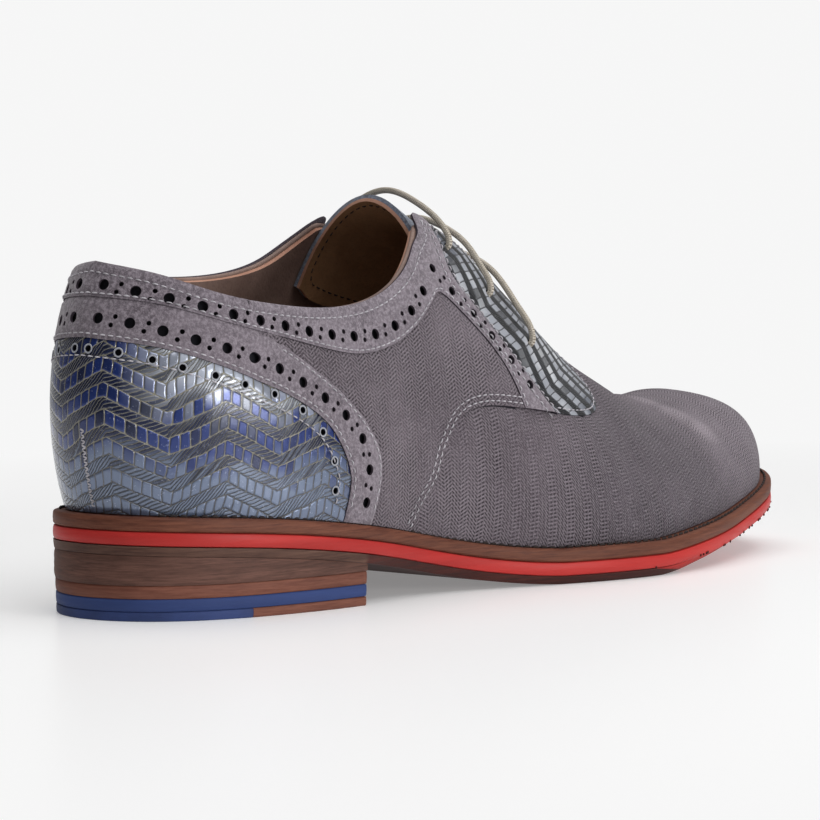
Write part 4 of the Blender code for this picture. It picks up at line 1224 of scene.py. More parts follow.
def heel_layer(name, levels, start, stop, material, node):
    """A layer of the heel: rings at several levels with their insets, cut off at start and stop."""
    base = EDGE + EDGE_IN*0.0008
    keep = np.where((base[:, 0] > start + 0.0006) & (base[:, 0] < stop - 0.0006))[0]
    breaks = np.where(np.diff(keep) > 1)[0]
    runs = np.split(keep, breaks + 1)
    rings = []
    for level, inset in levels:
        ring = EDGE + EDGE_IN*inset

        def cut(near, beyond, at):
            """Where the ring crosses a line across the heel."""
            a, b = ring[near], ring[beyond % len(ring)]
            return a + (b - a)*(at - a[0])/(b[0] - a[0])

        made = []
        for i, run in enumerate(runs):
            first = stop if i == 0 else start
            last = stop if i == len(runs) - 1 else start
            made.append(cut(run[0], run[0] - 1, first))
            made.extend(ring[run])
            made.append(cut(run[-1], run[-1] + 1, last))
        made = np.array(made)
        top = level(made[:, 0]) if callable(level) else np.full(len(made), level)
        rings.append(np.column_stack([made, top]))
    count = len(rings[0])
    faces = ring_faces(len(rings), count)
    faces += [tuple(range(count)), tuple((len(rings) - 1)*count + i for i in range(count))]
    return closed_piece(name, np.vstack(rings), faces, material, node)


# Finishes

nubuck = nubuck_finish()
suede = suede_finish()
suede_edge = plain_finish("suede_cut_edge", (70, 62, 70), 0.95, 0.1, 1500.0)
nubuck_edge = plain_finish("nubuck_cut_edge", (66, 58, 66), 0.95, 0.1, 1500.0)
# dark sheet for the vamp under the quarters: painted shade where it shows at the panels' edges
gap_shade_underlay = plain_finish("underlay_painted_gap_shade", (34, 33, 40), 0.8, 0.2, 1500.0)
# counter: low grey-blue, partly a painted reflection of the floor; its own blue in the middle; near-white
# high, a painted highlight; then a dull brick, the strokes' colours and the grooves'
woven = woven_finish("woven_counter", 1.0,
                     (shade(100, 112, 136), shade(24, 46, 108), shade(176, 182, 196), shade(16, 22, 44)),
                     (shade(98, 109, 130), shade(22, 32, 66), shade(168, 172, 180)),
                     (shade(52, 58, 76), shade(132, 128, 114)), 0.15)
woven_dark = woven_finish("woven_facing", 1.1,
                          (shade(96, 100, 110), shade(150, 153, 161), shade(206, 208, 212),
                           shade(20, 21, 27)),
                          (shade(10, 11, 15), shade(14, 15, 20), shade(22, 23, 29)),
                          (shade(30, 31, 37), shade(62, 63, 68)), 0.34, False)
woven_edge = plain_finish("woven_cut_edge", (24, 25, 34), 0.7, 0.3, 1200.0)
lining = leather_finish("brown_lining", (104, 82, 74), (138, 114, 104), 0.5, 1100.0, 0.00008, 0.35)
tongue_lining = leather_finish("tan_lining", (122, 88, 60), (156, 118, 86), 0.5, 1100.0, 0.00008, 0.3)
lining_edge = leather_finish("lining_cut_edge", (150, 108, 90), (180, 138, 118), 0.7, 1500.0, 0.00008, 0.2)
tongue_suede = suede_finish("tongue_suede", (80, 86, 98), (124, 131, 146))
white_thread = plain_finish("pale_thread", (188, 184, 190), 0.75, 0.25, 3500.0)
dark_thread = plain_finish("dark_thread", (44, 34, 32), 0.7, 0.3, 3500.0)
nick_finish = plain_finish("nick_shadow", (74, 34, 34), 0.7, 0.2, 1500.0)
ring_finish = plain_finish("pale_ring", (158, 160, 168), 0.35, 0.5, 2500.0, 0.00005)
lace = braid_finish()
outsole_finish = layered_finish("outsole_edge", (50, 21, 18), (78, 36, 30), 0.5, 1500.0, 0.5,
                                ((66, 42, 34), (104, 76, 64)), ((166, 36, 34), (190, 54, 50)))
red_finish = layered_finish("red_edge", (166, 36, 34), (190, 54, 50), 0.36, 900.0, 1.6)
welt_finish = layered_finish("welt_edge", (80, 42, 30), (118, 72, 54), 0.46, 1500.0)
stack_finish = layered_finish("heel_stack_edge", (70, 46, 38), (108, 76, 66), 0.55, 1900.0)
tan_finish = layered_finish("tan_lift_edge", (98, 56, 44), (134, 86, 70), 0.55, 1500.0)
rubber_finish = plain_finish("blue_rubber", (48, 64, 112), 0.6, 0.25, 1400.0, 0.00008)
blue_finish = layered_finish("blue_lift_edge", (42, 58, 104), (56, 74, 126), 0.55, 900.0, 1.4)


# Sole

# Layers that lie on each other stay this far apart, so that their faces don't coincide
HAIR = 0.0001


def over_outsole(x):
    return underside(x) + OUTSOLE_THICK


def over_midsole(x):
    return underside(x) + OUTSOLE_THICK + MIDSOLE_THICK


def under(level):
    """A level a hair lower."""
    return lambda x: level(x) - HAIR


tan_top = TOP_PIECE_THICK + BLUE_LIFT_THICK + TAN_LIFT_THICK
blue_top = TOP_PIECE_THICK + BLUE_LIFT_THICK

# Profiles of the sole's edges: an inset, and a share of the layer's height
BEVEL = [
    (OUTSOLE_BEVEL, 0.0), (OUTSOLE_BEVEL*0.62, 0.3), (OUTSOLE_BEVEL*0.42, 0.6), (OUTSOLE_BEVEL*0.3, 1.0),
]
ROUNDED = [
    (EDGE_ROUND*1.3, 0.0), (EDGE_ROUND*0.45, 0.07), (0.0001, 0.2), (0.0, 0.5), (0.0001, 0.8),
    (EDGE_ROUND*0.45, 0.93), (EDGE_ROUND*1.3, 1.0),
]
obj = sole_layer("outsole_leather", BEVEL, underside, under(over_outsole), outsole_finish, "outsole")
obj = sole_layer("midsole_red", ROUNDED, over_outsole, under(over_midsole), red_finish, "midsole")
WELT = [(EDGE_ROUND, 0.0), (0.0001, 0.12), (0.0, 0.5), (0.0001, 0.85), (0.0004, 0.95), (0.0009, 1.0)]
obj = sole_layer("welt_leather", WELT, over_midsole, seat, welt_finish, "welt")


def taper(level):
    """How far the heel's wall has drawn in at a height over the floor."""
    return HEEL_TAPER*(1 - level/HEEL_RISE) + GAP


def lift_rings(low, high):
    """Rings of a heel lift whose corners are slightly worn."""
    tall = high - low
    worn, hardly_worn = 0.00035, 0.00008
    rows = ((0.0, worn), (0.1, hardly_worn), (0.5, 0.0), (0.9, hardly_worn), (1.0, worn))
    return [(low + tall*share, taper(low + tall*share) + inset) for share, inset in rows]


def stack_level(share):
    """A level of the heel stack: flat at its bottom, and following the sole at its top."""
    return lambda x: tan_top*(1 - share) + (underside(x) - HAIR)*share


STACK_STEPS = 9
stack = []
for k in range(STACK_STEPS):
    share = k/(STACK_STEPS - 1)
    level = stack_level(share)
    stack.append((level, HEEL_TAPER*0.5 + (0.0003 if k in (0, STACK_STEPS - 1) else 0.00006*(k % 2))))
obj = heel_layer("heel_stack_leather", stack, -1, HEEL_LENGTH, stack_finish, "heel_stack")
obj = heel_layer("heel_lift_tan_leather", lift_rings(blue_top, tan_top - HAIR), -1, HEEL_LENGTH, tan_finish,
                 "heel_lift_tan")
obj = heel_layer("heel_lift_blue_leather", lift_rings(TOP_PIECE_THICK, blue_top - HAIR), -1, HEEL_LENGTH,
                 blue_finish, "heel_lift_blue")
obj = heel_layer("heel_rubber_piece", lift_rings(0, TOP_PIECE_THICK - HAIR), -1, RUBBER_LENGTH - HAIR,
                 rubber_finish, "heel_rubber")
obj = heel_layer("heel_leather_piece", lift_rings(0, TOP_PIECE_THICK - HAIR), RUBBER_LENGTH, HEEL_LENGTH,
                 tan_finish, "heel_leather")


# nicks along the red layer's lower edge under the forepart
nicks = []
NICKED = (0.60*LENGTH, 0.985*LENGTH)
NICK_CHANCE = 0.16
for k in np.where((EDGE[:, 0] > NICKED[0]) & (EDGE[:, 0] < NICKED[1]))[0]:
    if rng.random() < NICK_CHANCE:
        foot = np.array([*EDGE[k], over_outsole(EDGE[k, 0]) - HAIR])
        spot = foot + np.linspace(0, rng.uniform(0.0006, 0.0011), 5)[:, None]*(0, 0, 1.0)
        out = np.tile((*-EDGE_IN[k], 0.0), (5, 1))
        nicks.append((spot, out))
thread("midsole_nicks", nicks, nick_finish, 0.01, 0.00030, -0.00012, 0.0, 0.0002)


# Upper

# The facing strips' edge toward the throat: a share of LENGTH along, and of BALL_WIDTH away from the ridge
STRIP_FRONT = [(0.36, 0.226), (0.43, 0.178), (0.50, 0.132), (0.55, 0.108), (0.60, 0.094), (0.66, 0.090)]

# Stations between which that edge runs
STRIP_START, STRIP_STOP = 0.402, 0.563

SEAM_LINES = []
COVERED = []
for hand in (-1, 1):
    front = boundary(SEAM, 60, hand)
    front[0, 1] = 0
    end = boundary(FACING_END, 24, hand)
    stations = np.linspace(STRIP_START, STRIP_STOP, 30)
    places = stations if hand < 0 else 2 - stations
    inner = np.array([(p, beside_ridge(p, STRIP_FRONT)) for p in places])
    line = np.vstack([front, end[1:], inner])
    SEAM_LINES.append(line)
    back = np.array([(STRIP_STOP, 1.3), (1.0, 1.3), (1.0, -0.1), (0.64, -0.1)])
    if hand > 0:
        back[:, 0] = 2 - back[:, 0]
    COVERED.append(np.vstack([line, back])*FLAT)


def cover(place, share):
    """Distance behind the edge of the quarters and facings; negative on the bare vamp."""
    shape = place.shape
    spots = np.column_stack([place.ravel(), share.ravel()])
    points = surface(spots[:, 0], spots[:, 1])
    lines = np.vstack([dense(line) for line in SEAM_LINES])
    away = nearest(points, lines[::2])
    under = inside(COVERED[0], spots*FLAT) | inside(COVERED[1], spots*FLAT)
    return np.where(under, away, -away).reshape(shape)


STATIONS = np.concatenate([
    np.linspace(0, 0.2, 24), np.linspace(0.2, 0.40, 44)[1:], np.linspace(0.40, 0.45, 22)[1:],
    np.linspace(0.45, 0.66, 60)[1:], np.linspace(0.66, 1, 54)[1:],
])
PLACES = np.concatenate([STATIONS, 2 - STATIONS[-2:0:-1]])
ROWS = 46
tops = np.array([wall_top(p) for p in PLACES])
share = np.linspace(0, 1, ROWS)[None]*tops[:, None]
place = np.repeat(PLACES[:, None], ROWS, axis=1)
behind = cover(place, share)
# The vamp sinks this far toward the quarters' edge, and as far again behind it
VAMP_DROP = 0.0009
deep = VAMP_DROP*smoothstep(behind, -0.006, 0.0005) + VAMP_DROP*smoothstep(behind, 0.0005, 0.005)
base = surface(place, share)

# Creases and soft swellings of the vamp, placed from the photograph
flat_base = base.reshape(-1, 3)
crease = np.zeros(len(flat_base))
CREASES = [
    # centre of the soft form (x, y, z), reach each way, depth (negative is raised)
    ((0.229, -0.008, 0.053), (0.009, 0.018, 0.020), 0.0013),
    ((0.2435, -0.008, 0.048), (0.006, 0.010, 0.010), -0.0009),
    ((0.2490, -0.021, 0.042), (0.0065, 0.009, 0.009), -0.0011),
    ((0.230, 0.024, 0.050), (0.009, 0.014, 0.016), 0.0007),
    ((0.246, 0.020, 0.046), (0.007, 0.012, 0.010), -0.0004),
    ((0.214, -0.030, 0.044), (0.007, 0.012, 0.012), 0.0006),
    ((0.201, -0.036, 0.044), (0.006, 0.012, 0.014), -0.0004),
    ((0.188, -0.042, 0.040), (0.007, 0.012, 0.014), 0.0005),
    ((0.268, -0.024, 0.034), (0.010, 0.010, 0.010), 0.0003),
    ((0.206, 0.040, 0.044), (0.008, 0.012, 0.014), 0.0005),
    ((0.190, 0.046, 0.042), (0.008, 0.012, 0.014), -0.0004),
]
for centre, reach, amount in CREASES:
    crease += bump_at(flat_base, centre, reach, amount)
crease = crease.reshape(place.shape)
crease = crease*smoothstep(share, 0.05, 0.3)
outer = layer(place, share, deep + crease)
inner = layer(place, share, deep + crease*0.6 + WALL - 0.0003*smoothstep(behind, 0.0, 0.004))
index = np.arange(place.size).reshape(place.shape)
columns = len(PLACES)
for i in range(columns):
    if tops[i] == 1.0:
        if PLACES[i] <= TOE_TURN or PLACES[i] >= 2 - TOE_TURN:
            index[i, -1] = index[0, -1]
        elif PLACES[i] > 1:
            index[i, -1] = index[columns - i, -1]
faces = []
marks = []
for i in range(columns):
    k = (i + 1) % columns
    for j in range(ROWS - 1):
        corners = (index[i, j], index[k, j], index[k, j + 1], index[i, j + 1])
        face = tuple(dict.fromkeys(int(corner) for corner in corners))
        if len(face) > 2:
            faces.append(face[::-1])
            # faces under the quarters take the dark underlay, painted shade at their edges
            marks.append(0 if behind[i, j] + behind[k, j + 1] < 0.0012 else 3)
outer_flat, inner_flat = outer.reshape(-1, 3), inner.reshape(-1, 3)
used = np.unique([k for face in faces for k in face])
renumber = np.full(place.size, -1)
renumber[used] = np.arange(len(used))
faces = [tuple(int(renumber[k]) for k in face) for face in faces]
uv = toe_map(place.ravel()[used], share.ravel()[used])
upper = solid_sheet("upper_vamp_and_lining", outer_flat[used], inner_flat[used], faces,
                    [nubuck, lining, lining_edge, gap_shade_underlay], uv, marks)
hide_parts("upper")


# Panels

# Radii of the punched holes, the pinholes between them, and those of the facing, the counter and the laces
PUNCH = 0.00158
PIN = 0.00072
FACING_PUNCH = 0.00138
RING_HOLE = 0.0010
LACE_HOLE = 0.0013
# Depths of the panels' faces under the upper's surface, and the panels' thickness in the scene
BAND_DEPTH = -0.00045
COUNTER_BAND_DEPTH = -0.00030
PANEL_DEPTH = -0.00005
STRIP_DEPTH = 0.00025
SUEDE_THICK = 0.00095
NUBUCK_THICK = 0.0008
WOVEN_THICK = 0.00100
# How far panels run on under their neighbours, and how far stitches lie from the edges they hold
TUCK = 0.0012
COLLAR_STITCH = 0.0031
BAND_STITCH = 0.0009
COUNTER_STITCH = 0.0050
SEAM_STITCHES = (0.0013, 0.0031)
STRIP_STITCH = 0.0016
ROW_ONE = [(1.0, .638), (.965, .624), (.922, .607), (.883, .590), (.843, .572), (.805, .553), (.775, .542),
           (.748, .530), (.720, .528), (.695, .533), (.670, .552), (.647, .590), (.628, .640), (.608, .712)]
ROW_FACING = [(.588, .789), (.573, .732), (.555, .676), (.540, .618), (.524, .552), (.509, .482)]
ROW_TWO = [(1.0, .544), (.975, .536), (.932, .522), (.895, .500), (.855, .479), (.820, .459), (.787, .429),
           (.763, .395), (.738, .350), (.715, .300), (.700, .236), (.695, .153), (.698, .064)]
RINGS = [(.990, .454), (.955, .446), (.920, .429), (.888, .410), (.850, .391), (.815, .369), (.785, .346),
         (.760, .307), (.742, .250), (.732, .172), (.731, .089)]


def spaced(rows, count):
    """Rows at even distances, the first half a step from the heel's middle."""
    line = boundary(rows, 300, -1)
    points = surface(line[:, 0], line[:, 1])
    run = run_along(points)
    step = run[-1]/(count - 0.5)
    at = step*(np.arange(count) + 0.5)
    rises = walk(rows, 300)[:, 1]
    return [(float(np.interp(a, run, line[:, 0])), float(np.interp(a, run, rises))) for a in at]


def lifted(rows, hand):
    """Rows along the collar's band, raised on the inner side as the band is."""
    if hand < 0:
        return rows
    made = []
    for station, rise in rows:
        extra = float(collar_rise(station, 1) - collar_rise(station, -1))
        made.append((station, rise + extra*band_share(station)))
    return made


def punched(rows, hand, pins=True, size=PUNCH):
    """Big holes along a row with two pinholes between each pair of neighbours."""
    spots = both_sides(rows, hand)
    holes = [(spot, size) for spot in spots]
    if pins:
        points = surface(spots[:, 0], spots[:, 1])
        for k in range(len(spots) - 1):
            middle = (spots[k] + spots[k + 1])/2
            way = points[k + 1] - points[k]
            way /= np.linalg.norm(way)
            normal = outward(middle[:1], middle[1:])[0]
            side = np.cross(normal, way)
            for sign in (-1, 1):
                away = (sign*0.00125*side + sign*0.0004*way)[None]
                holes.append((shifted(middle[None], away)[0], PIN))
    return holes


def band_line(hand):
    """The lower and upper edges of the collar's band on one side, as dense spots."""
    low, high = band_edges(hand)
    return boundary(low, 130, hand), boundary(high, 130, hand)


out_low, out_high = band_line(-1)
in_low, in_high = band_line(1)
band_low = np.vstack([out_low, in_low[::-1][1:]])
band_high = np.vstack([out_high, in_high[::-1][1:]])
band_loop = np.vstack([band_low, band_high[::-1]])

row = spaced(ROW_ONE, len(ROW_ONE))
holes = punched(row, -1) + punched(lifted(row, 1), 1)
for hand in (-1, 1):
    holes += punched(ROW_FACING, hand, True, FACING_PUNCH)
collar_stitch = beside(band_high, COLLAR_STITCH)
low_stitch = beside(band_low, -BAND_STITCH)
stitches = [collar_stitch, low_stitch]
collar_band = fitted_panel("collar_band_suede", [band_loop], [], band_loop, holes, stitches, BAND_DEPTH,
                           SUEDE_THICK, [suede, suede, suede_edge], map_of)
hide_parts("collar_band")

# counter band: its upper edge runs under the collar's band where the two meet
front = boundary(COUNTER_FRONT, 30, -1)
top = boundary(COUNTER_TOP, 90, -1)
low_front = boundary(COUNTER_EDGE_FRONT, 20, -1)
low_top = boundary(COUNTER_EDGE_TOP, 80, -1)


def mirrored(line):
    """The same line on the shoe's other side, run backwards."""
    return np.column_stack([2 - line[:, 0], line[:, 1]])[::-1]


for line in (front, low_front):
    line[0, 1] = 0.0
outer_edge = np.vstack([front, top[1:]])
counter_out = np.vstack([outer_edge, mirrored(outer_edge)[1:]])
inner_edge = np.vstack([low_front, low_top[1:]])
counter_in = np.vstack([inner_edge, mirrored(inner_edge)[1:]])
tucked = beside(counter_out, -0.0015*smoothstep(0.235 - np.abs(counter_out[:, 0] - 1), 0.0, 0.02))
meets = np.abs(counter_out[:, 0] - 1) < 0.228
free = [counter_out[:np.argmax(meets)], counter_out[len(meets) - np.argmax(meets[::-1]):]]
loop = np.vstack([tucked, counter_in[::-1]])
row = spaced(ROW_TWO, len(ROW_TWO))
holes = punched(row, -1) + punched(row, 1)
two_low = beside(counter_in[4:-4], -TUCK)
two_high = [beside(free[0][4:], TUCK), beside(free[1][:-4], TUCK)]
stitches = [two_low] + two_high
counter_band = fitted_panel("counter_band_suede", [counter_in] + free, [tucked[meets]], loop, holes,
                            stitches, COUNTER_BAND_DEPTH, SUEDE_THICK, [suede, suede, suede_edge], map_of)
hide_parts("counter_band")

# heel counter, tucked under its band
wide = beside(counter_in, -TUCK)
wide[0] = counter_in[0] + (-0.004, 0)
wide[-1] = counter_in[-1] + (0.004, 0)
foot = np.linspace(wide[-1], wide[0], 60)[1:-1]
foot[:, 1] = 0.0
loop = np.vstack([wide, foot])
holes = [(spot, RING_HOLE) for spot in np.vstack([both_sides(RINGS, -1), both_sides(RINGS, 1)])]
under_stitch = beside(counter_in[4:-4], COUNTER_STITCH)
counter = fitted_panel("heel_counter_woven", [], [wide], loop, holes, [under_stitch], PANEL_DEPTH,
                       WOVEN_THICK, [woven, woven, woven_edge], heel_map, 0.0021)
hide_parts("heel_counter")


def turned_map(place, share):
    """The flat map turned by 60 degrees, as the facing strips' print is."""
    return map_of(place, share) @ np.array([[0.5, -0.866], [0.866, 0.5]])


for hand, label in ((-1, "outer"), (1, "inner")):
    seam = boundary(SEAM[:8], 40, hand)
    seam[0, 1] = 0.0
    whole = boundary(SEAM, 60, hand)
    whole[0, 1] = 0.0
    back = boundary(COUNTER_FRONT + COUNTER_TOP[1:5], 50, hand)
    back[0, 1] = 0.0
    band = out_low if hand < 0 else in_low
    joined = band[np.abs(band[:, 0] - 1) > 1 - 0.775]
    under_top = beside(joined, TUCK*hand)
    under_back = beside(back, -TUCK*hand)
    under_back[0, 1] = 0.0
    cut = int(np.argmax(np.linalg.norm(under_top[:, None] - under_back[None], axis=2).min(axis=1) < 0.006))
    edge = np.vstack([whole, under_top[4:cut or None], under_back[::-1]])
    foot = np.linspace(under_back[0], seam[0], 40)[1:-1]
    foot[:, 1] = 0.0
    edge = np.vstack([edge, foot])
    one, two = [beside(whole[:-2], -away*hand) for away in SEAM_STITCHES]
    tucked = [under_top[6:], under_back]
    quarter = fitted_panel("quarter_%s_nubuck" % label, [whole], tucked, edge, [], [one, two], PANEL_DEPTH,
                           NUBUCK_THICK, [nubuck, nubuck, nubuck_edge], map_of)
    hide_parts("quarter_%s" % label)

    low = boundary(FACING_BACK, 40, hand)
    end = boundary(FACING_END, 24, hand)
    stations = np.linspace(STRIP_START, 0.5580, 60)
    places = stations if hand < 0 else 2 - stations
    inner_line = np.array([(p, beside_ridge(p, STRIP_FRONT)) for p in places])
    corner = np.vstack([end, inner_line])
    tuck = beside(low, -0.0005*hand)
    edge = np.vstack([corner, tuck[::-1]])
    lace_holes = [(spot, LACE_HOLE) for spot in both_sides(EYELETS, hand)]
    end_stitch = beside(even(corner, 0.001), -STRIP_STITCH*hand)
    strip = fitted_panel("facing_%s_woven" % label, [corner], [tuck[5:]], edge, lace_holes, [end_stitch],
                         STRIP_DEPTH, WOVEN_THICK, [woven_dark, woven_dark, woven_edge], turned_map)
    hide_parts("facing_%s" % label)
    rows = [on_layer(one, -0.0001), on_layer(two, -0.0001)]
    thread("seam_stitching_%s" % label, rows, white_thread)
    thread("facing_stitching_%s" % label, [on_layer(end_stitch, STRIP_DEPTH)], white_thread)
    band_rows = [on_layer(beside(low, -0.0008*hand), BAND_DEPTH)]
    thread("facing_band_stitching_%s" % label, band_rows, white_thread)

thread("collar_stitching", [on_layer(collar_stitch, BAND_DEPTH)], white_thread)
thread("band_stitching", [on_layer(low_stitch, BAND_DEPTH)], white_thread)
rows = [on_layer(line, COUNTER_BAND_DEPTH) for line in [two_low] + two_high]
thread("counter_band_stitching", rows, white_thread)
thread("counter_stitching", [on_layer(under_stitch, -0.0001)], white_thread)

# rings round the small holes along the counter's edge
RING_RADIUS = 0.00118
RING_WIDE, RING_DEEP = 0.00024, 0.00014
RING_STEPS, WIRE_STEPS = 20, 8
points, faces = [], []
turn = np.linspace(0, 2*pi, RING_STEPS, endpoint=False)
round_wire = np.linspace(0, 2*pi, WIRE_STEPS, endpoint=False)
for spot in np.vstack([both_sides(RINGS, -1), both_sides(RINGS, 1)]):
    centre = layer(spot[:1], spot[1:], np.array([-0.0001]))[0]
    normal = outward(spot[:1], spot[1:])[0]
    first = np.cross(normal, (0, 0, 1.0))
    first /= np.linalg.norm(first)
    second = np.cross(normal, first)
    start = len(points)
    for a in turn:
        way = cos(a)*first + sin(a)*second
        for b in round_wire:
            points.append(centre + way*(RING_RADIUS + RING_WIDE*cos(b)) + normal*RING_DEEP*sin(b))
    for i in range(RING_STEPS):
        here, there = start + i*WIRE_STEPS, start + (i + 1) % RING_STEPS*WIRE_STEPS
        for j in range(WIRE_STEPS):
            k = (j + 1) % WIRE_STEPS
            faces.append((here + j, there + j, there + k, here + k))
new_mesh("counter_rings", np.array(points) - MIDDLE, faces, [ring_finish])

# zigzag closing the counter at the back
rows = np.linspace(0.235, 0.02, 30)
zig = np.array([(1.0 + 0.0028*(-1)**k, share_at_rise(1.0, r)) for k, r in enumerate(rows)])
lines = []
for a, b in zip(zig[:-1], zig[1:]):
    spots = np.linspace(a, b, 6)
    lines.append((layer(spots[:, 0], spots[:, 1], np.full(6, -0.00005)), outward(spots[:, 0], spots[:, 1])))
thread("back_seam_zigzag", lines, white_thread, 0.01, 0.00026, 0.0002, 0.0001)

# edge of the lining round the collar
edge_places = np.concatenate([np.linspace(0.566, 1, 150), np.linspace(1, 2 - 0.563, 150)[1:]])
tops_there = np.array([wall_top(p) for p in edge_places])
ring = layer(edge_places, tops_there, np.full(len(edge_places), 0.0016))
tube("collar_lining_edge", ring + (0, 0, -0.0001), 0.00085, lining, 10, False)

# Tongue
rows, columns = 70, 41
side = np.linspace(-1, 1, columns)
up = np.linspace(0, 1, rows)[:, None]
station = np.linspace(0.385, 0.567, rows)[:, None] + 0.014*side**2*up**3
reach = smooth([r[0] for r in TONGUE_REACH], [r[1] for r in TONGUE_REACH], station)[..., 0]
reach = reach*(1 + 0.12*smoothstep(up, 0.55, 0.9) - 0.06*smoothstep(up, 0.93, 1.0))
t_share = 1 - reach*np.abs(side)
t_place = np.where(side < 0, station, 2 - station)
t_depth = PANEL_THICK + PANEL_GAP + WALL + TONGUE_GAP


def rounded(points):
    """The tongue bends over the instep without a crease."""
    for _ in range(26):
        points[:, 1:-1] = 0.25*points[:, :-2] + 0.5*points[:, 1:-1] + 0.25*points[:, 2:]
    return points


# the tongue stands out a little more toward its top
TONGUE_SWELL = 0.0016
fuller = TONGUE_SWELL*up**2*(1 - side**2)**0.5
t_outer = rounded(layer(t_place, t_share, t_depth + 0*side - fuller))
t_middle = rounded(layer(t_place, t_share, t_depth + 0.0013 + 0*side - fuller))
t_inner = rounded(layer(t_place, t_share, t_depth + TONGUE_THICK + 0*side - fuller))
t_faces = grid_quads(rows, columns)
t_map = np.stack(np.broadcast_arrays(up*0.07, side*0.03), axis=-1).reshape(-1, 2)
tongue = solid_sheet("tongue_outer_suede", t_outer.reshape(-1, 3), t_middle.reshape(-1, 3), t_faces,
                     [tongue_suede, tongue_suede, tongue_suede], t_map)
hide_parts("tongue")
tongue_back = solid_sheet("tongue_lining", t_middle.reshape(-1, 3), t_inner.reshape(-1, 3), t_faces,
                          [lining_edge, tongue_lining, lining_edge], t_map)

# stitching that holds the tongue's lining, seen from inside
inset = 3
left, top = t_inner[20:-inset, inset], t_inner[-inset, inset:-inset]
border = np.vstack([left, top, t_inner[20:-inset, -inset][::-1]])
run = run_along(border)
at = np.linspace(0, run[-1], 260)
border = np.column_stack([np.interp(at, run, border[:, k]) for k in range(3)])
core = np.array([0.10, 0.004, 0.05])
thread("tongue_stitching", [(border, core - border)], dark_thread, 0.0026, 0.00024)

# Laces
for number, (station, rise) in enumerate(EYELETS, 1):
    path = []
    for p in (station, 2 - station):
        edge = beside_ridge(p, FACING_FRONT)
        hole = share_at_rise(p, rise)
        strip = np.linspace(hole + 0.012, edge, 4)
        shares = np.concatenate([[hole - 0.001, hole], strip, [(edge + 1)/2, 1]])
        rise_over = [-0.0016, 0.0002, 0.0012, 0.0016, 0.00175, LACE_LIFT]
        lift = np.array(rise_over + [LACE_LIFT - LACE_SAG*0.7, LACE_LIFT - LACE_SAG])
        path.append(layer(np.full(8, p), shares, -lift))
    path = np.vstack([path[0], path[1][-2::-1]])
    path = walk(path, 90)
    obj = tube("lace_bar_%d_braid" % number, path, LACE_DIAMETER/2, lace, 14)
    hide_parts("lace_bar_%d" % number)

# Welt stitching
# It lies this far in from the edge, all round but for the heel's back
WELT_STITCH = 0.0021
edge_spots = EDGE + EDGE_IN*WELT_STITCH
front_part = edge_spots[edge_spots[:, 0] > 0.03*LENGTH]
gaps = np.linalg.norm(np.diff(np.vstack([front_part, front_part[:1]]), axis=0), axis=1)
start = int(np.argmax(gaps))
front_part = np.roll(front_part, -start - 1, axis=0)
line = np.column_stack([front_part, seat(front_part[:, 0]) + 0.0002])
upright = np.tile((0, 0, 1.0), (len(line), 1))
thread("welt_stitching", [(line, upright)], dark_thread, 0.0030, 0.00042, 0.0002)

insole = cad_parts["insole"]
for k in range(len(insole.data.materials)):
    insole.material_slots[k].material = lining


# Floor, light and camera

BACKDROP = 0.925
FLOOR_REACH = 0.7


def floor_finish():
    """Pale floor that takes soft shadows near the shoe and fades into the backdrop further out."""
    n = Nodes("pale_floor")
    x, y, _ = n.split(n.place())
    # an oval round the shoe, longer along it than across
    away = n.math("SQRT", n.plus(n.times(x, x), n.times(n.times(y, y), 1.6)))
    n.shader.inputs["Base Color"].default_value = grey(0.80)
    n.shader.inputs["Roughness"].default_value = 0.30
    n.shader.inputs["Specular IOR Level"].default_value = 0.30
    n.shader.inputs["Emission Color"].default_value = grey(1.0)
    n.shader.inputs["Emission Strength"].default_value = 0.22
    glow = n.add("ShaderNodeEmission")
    glow.inputs[0].default_value = grey(BACKDROP)
    mixed = n.add("ShaderNodeMixShader")
    n.put(mixed.inputs[0], n.ramp(away, 0.24, 0.60))
    n.put(mixed.inputs[1], n.shader.outputs[0])
    n.put(mixed.inputs[2], glow.outputs[0])
    n.put(n.tree.nodes["Material Output"].inputs[0], mixed.outputs[0])
    return n.material


floor_mesh = bpy.data.meshes.new("floor")
corners = [(x*FLOOR_REACH, y*FLOOR_REACH, 0) for x, y in ((-1, -1), (1, -1), (1, 1), (-1, 1))]
floor_mesh.from_pydata(corners, [], [(0, 1, 2, 3)])
floor_mesh.materials.append(floor_finish())
floor = bpy.data.objects.new("floor", floor_mesh)
bpy.context.scene.collection.objects.link(floor)

world = bpy.data.worlds.new("studio")
world.use_nodes = True
tree = world.node_tree
soft = tree.nodes["Background"]
soft.inputs["Color"].default_value = grey(1.0)
# the room is darker behind the shoe, on its inner side
DARK_WAY = (-0.86, 0.50, -0.05)
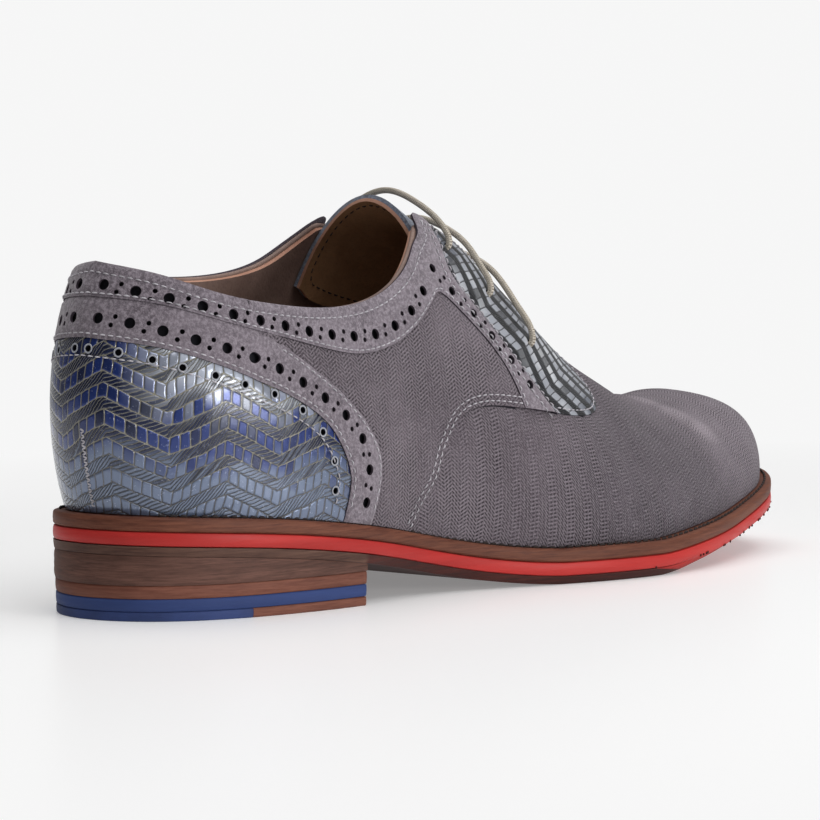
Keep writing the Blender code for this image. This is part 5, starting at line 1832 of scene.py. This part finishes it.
# how far toward that side the dimming starts and ends, and the room's strength there
DIMMING = (0.1, 0.8, 0.38, 0.10)
facing = tree.nodes.new("ShaderNodeVectorMath")
facing.operation = "DOT_PRODUCT"
facing.inputs[1].default_value = DARK_WAY
tree.links.new(tree.nodes.new("ShaderNodeTexCoord").outputs["Generated"], facing.inputs[0])
dim = tree.nodes.new("ShaderNodeMapRange")
for socket, value in zip(dim.inputs[1:5], DIMMING):
    socket.default_value = value
tree.links.new(facing.outputs["Value"], dim.inputs[0])
tree.links.new(dim.outputs[0], soft.inputs["Strength"])
backdrop = tree.nodes.new("ShaderNodeBackground")
backdrop.inputs["Color"].default_value = grey(BACKDROP)
seen = tree.nodes.new("ShaderNodeLightPath")
choice = tree.nodes.new("ShaderNodeMixShader")
tree.links.new(seen.outputs["Is Camera Ray"], choice.inputs[0])
tree.links.new(soft.outputs[0], choice.inputs[1])
tree.links.new(backdrop.outputs[0], choice.inputs[2])
tree.links.new(choice.outputs[0], tree.nodes["World Output"].inputs[0])
bpy.context.scene.world = world


def area_light(name, spot, target, size, power):
    """A rectangular light at a spot, turned to its target."""
    data = bpy.data.lights.new(name, "AREA")
    data.shape = "RECTANGLE"
    data.size, data.size_y = size
    data.energy = power
    obj = bpy.data.objects.new(name, data)
    obj.location = spot
    obj.rotation_euler = (Vector(target) - Vector(spot)).to_track_quat("-Z", "Y").to_euler()
    bpy.context.scene.collection.objects.link(obj)


LIGHTS = [
    # name, place, target, size, power
    ("key_light", (-0.3, -0.9, 1.3), (-0.02, 0, 0.05), (0.9, 0.7), 6),
    ("top_light", (0.1, 0.1, 1.5), (0, 0, 0), (1.6, 1.2), 14),
    ("side_light", (0.13, -1.20, 0.21), (-0.10, 0, 0.055), (0.70, 0.26), 6),
]
for light in LIGHTS:
    area_light(*light)

# The photograph's viewpoint: the camera's place from the heel's back, and its heading, turn and look down
CAMERA_PLACE = (-0.7956, -0.7812, 0.1312)
HEADING = (0.740, 0.673)
CAMERA_TURN = 0.0415
LOOK_DOWN = -0.06625
CAMERA_LENS = 179

camera_data = bpy.data.cameras.new("photo_camera")
camera_data.sensor_width = 36
camera_data.lens = CAMERA_LENS
camera_data.clip_start = 0.05
camera = bpy.data.objects.new("photo_camera", camera_data)
camera.location = (CAMERA_PLACE[0] - MIDDLE[0], CAMERA_PLACE[1] - MIDDLE[1], CAMERA_PLACE[2])
ahead = (HEADING[0] + HEADING[1]*CAMERA_TURN, HEADING[1] - HEADING[0]*CAMERA_TURN)
look = Vector((*ahead, LOOK_DOWN))
camera.rotation_euler = look.to_track_quat("-Z", "Y").to_euler()
bpy.context.scene.collection.objects.link(camera)
bpy.context.scene.camera = camera

scene = bpy.context.scene
scene.view_settings.view_transform = "Standard"
